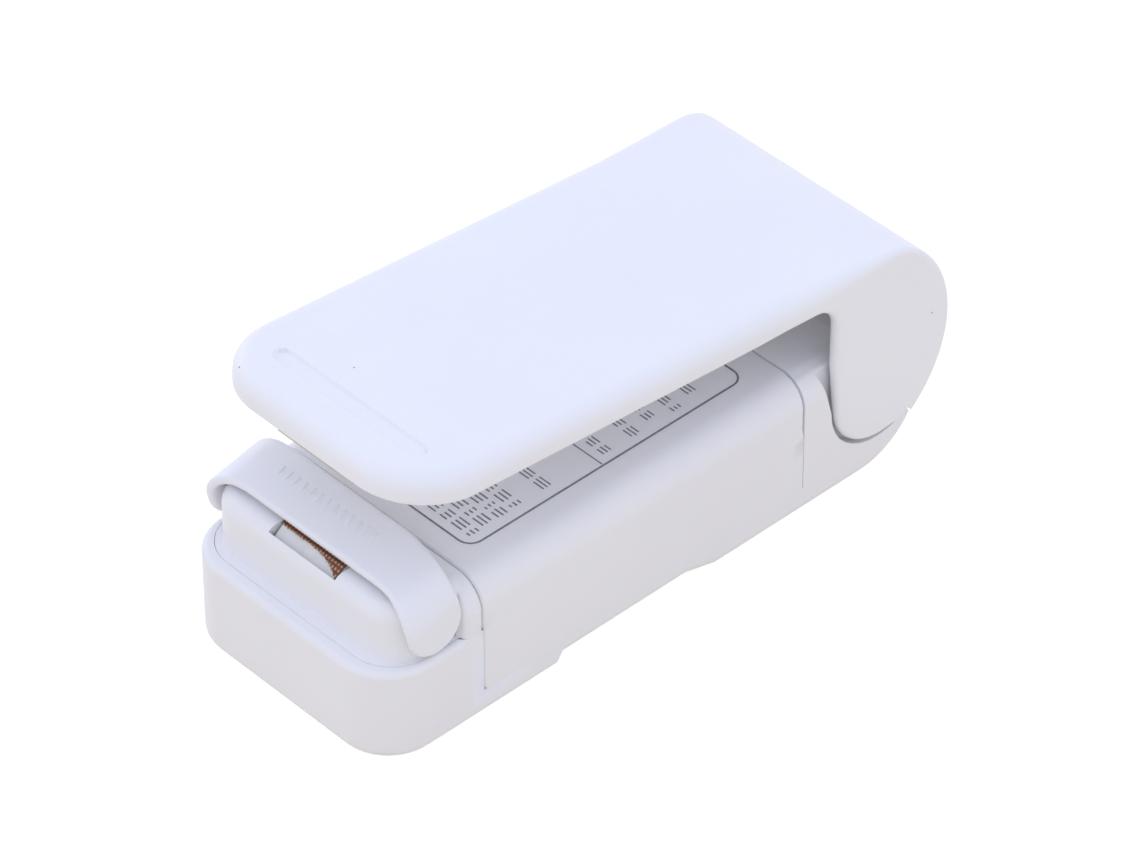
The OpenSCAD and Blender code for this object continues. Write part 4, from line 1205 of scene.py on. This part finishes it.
# %% Floor, sky and lamps
FLOOR_HALF, FLOOR_GAP = 3.0, 0.0001


def seen_directly(tree, plain, seen):
    """Shader seen for rays from the camera, in mirrors or through glass; plain for the rest."""
    path = add(tree, "ShaderNodeLightPath").outputs
    first = add(tree, "ShaderNodeMath", {0: path["Is Camera Ray"], 1: path["Is Glossy Ray"]},
                operation="MAXIMUM")
    both = add(tree, "ShaderNodeMath", {0: first.outputs[0], 1: path["Is Transmission Ray"]},
               operation="MAXIMUM")
    return add(tree, "ShaderNodeMixShader", {0: both.outputs[0], 1: plain.outputs[0],
                                             2: seen.outputs[0]}).outputs[0]


def plain_floor():
    """A wide pale sheet just under the feet: white to the camera, softened by a faint shadow."""
    mesh = bpy.data.meshes.new("floor")
    z = cad_box[0][2] - FLOOR_GAP
    mesh.from_pydata([(x * FLOOR_HALF, y * FLOOR_HALF, z)
                      for x, y in ((-1, -1), (1, -1), (1, 1), (-1, 1))], [], [(0, 1, 2, 3)])
    obj = linked("floor", mesh)
    material = bpy.data.materials.new("paper_white")
    material.use_nodes = True
    tree = material.node_tree
    tree.nodes.clear()
    paper = add(tree, "ShaderNodeBsdfDiffuse", {"Color": linear("#E9DDC2")})
    glow = add(tree, "ShaderNodeEmission", {"Color": (1, 1, 1, 1), "Strength": 0.9})
    shaded = add(tree, "ShaderNodeBsdfDiffuse", {"Color": linear("#8A8886")})
    lit = add(tree, "ShaderNodeAddShader", {0: shaded.outputs[0], 1: glow.outputs[0]})
    add(tree, "ShaderNodeOutputMaterial", {"Surface": seen_directly(tree, paper, lit)})
    mesh.materials.append(material)


def soft_sky(zenith, horizon):
    """Light that changes gently with height, and pure white where the camera sees it."""
    world = bpy.data.worlds.new("studio")
    scene.world = world
    world.use_nodes = True
    tree = world.node_tree
    tree.nodes.clear()
    up = add(tree, "ShaderNodeTexCoord").outputs["Generated"]
    split = add(tree, "ShaderNodeSeparateXYZ", {"Vector": up})
    height = add(tree, "ShaderNodeMapRange", {"Value": split.outputs["Z"], "From Min": -0.1,
                                              "From Max": 1.0})
    ramp = add(tree, "ShaderNodeValToRGB", {"Fac": height.outputs["Result"]})
    ramp.color_ramp.elements[0].color = (*horizon, 1)
    ramp.color_ramp.elements[1].color = (*zenith, 1)
    light = add(tree, "ShaderNodeBackground", {"Color": ramp.outputs["Color"], "Strength": 1.0})
    plain = add(tree, "ShaderNodeBackground", {"Color": (1, 1, 1, 1), "Strength": 1.0})
    add(tree, "ShaderNodeOutputWorld", {"Surface": seen_directly(tree, light, plain)})


def soft_lamp(name, direction, distance, size, power, colour):
    """A square soft box that looks at the sealer."""
    lamp = bpy.data.lights.new(name, "AREA")
    lamp.size, lamp.energy, lamp.color = size, power, linear(colour)[:3]
    obj = linked(name, lamp)
    obj.location = Vector(direction).normalized() * distance
    obj.rotation_euler = obj.location.to_track_quat("Z", "Y").to_euler()


plain_floor()
soft_sky((0.81, 0.88, 1.07), (0.87, 0.84, 0.92))
soft_lamp("soft_box", (-0.6, -0.8, 0.6), 0.9, 0.8, 0.15, "#FFF8F0")
soft_lamp("low_fill", (-0.97, 0.1, 0.26), 0.8, 0.4, 0.6, "#D2E2FF")
print("camera, floor and light set")
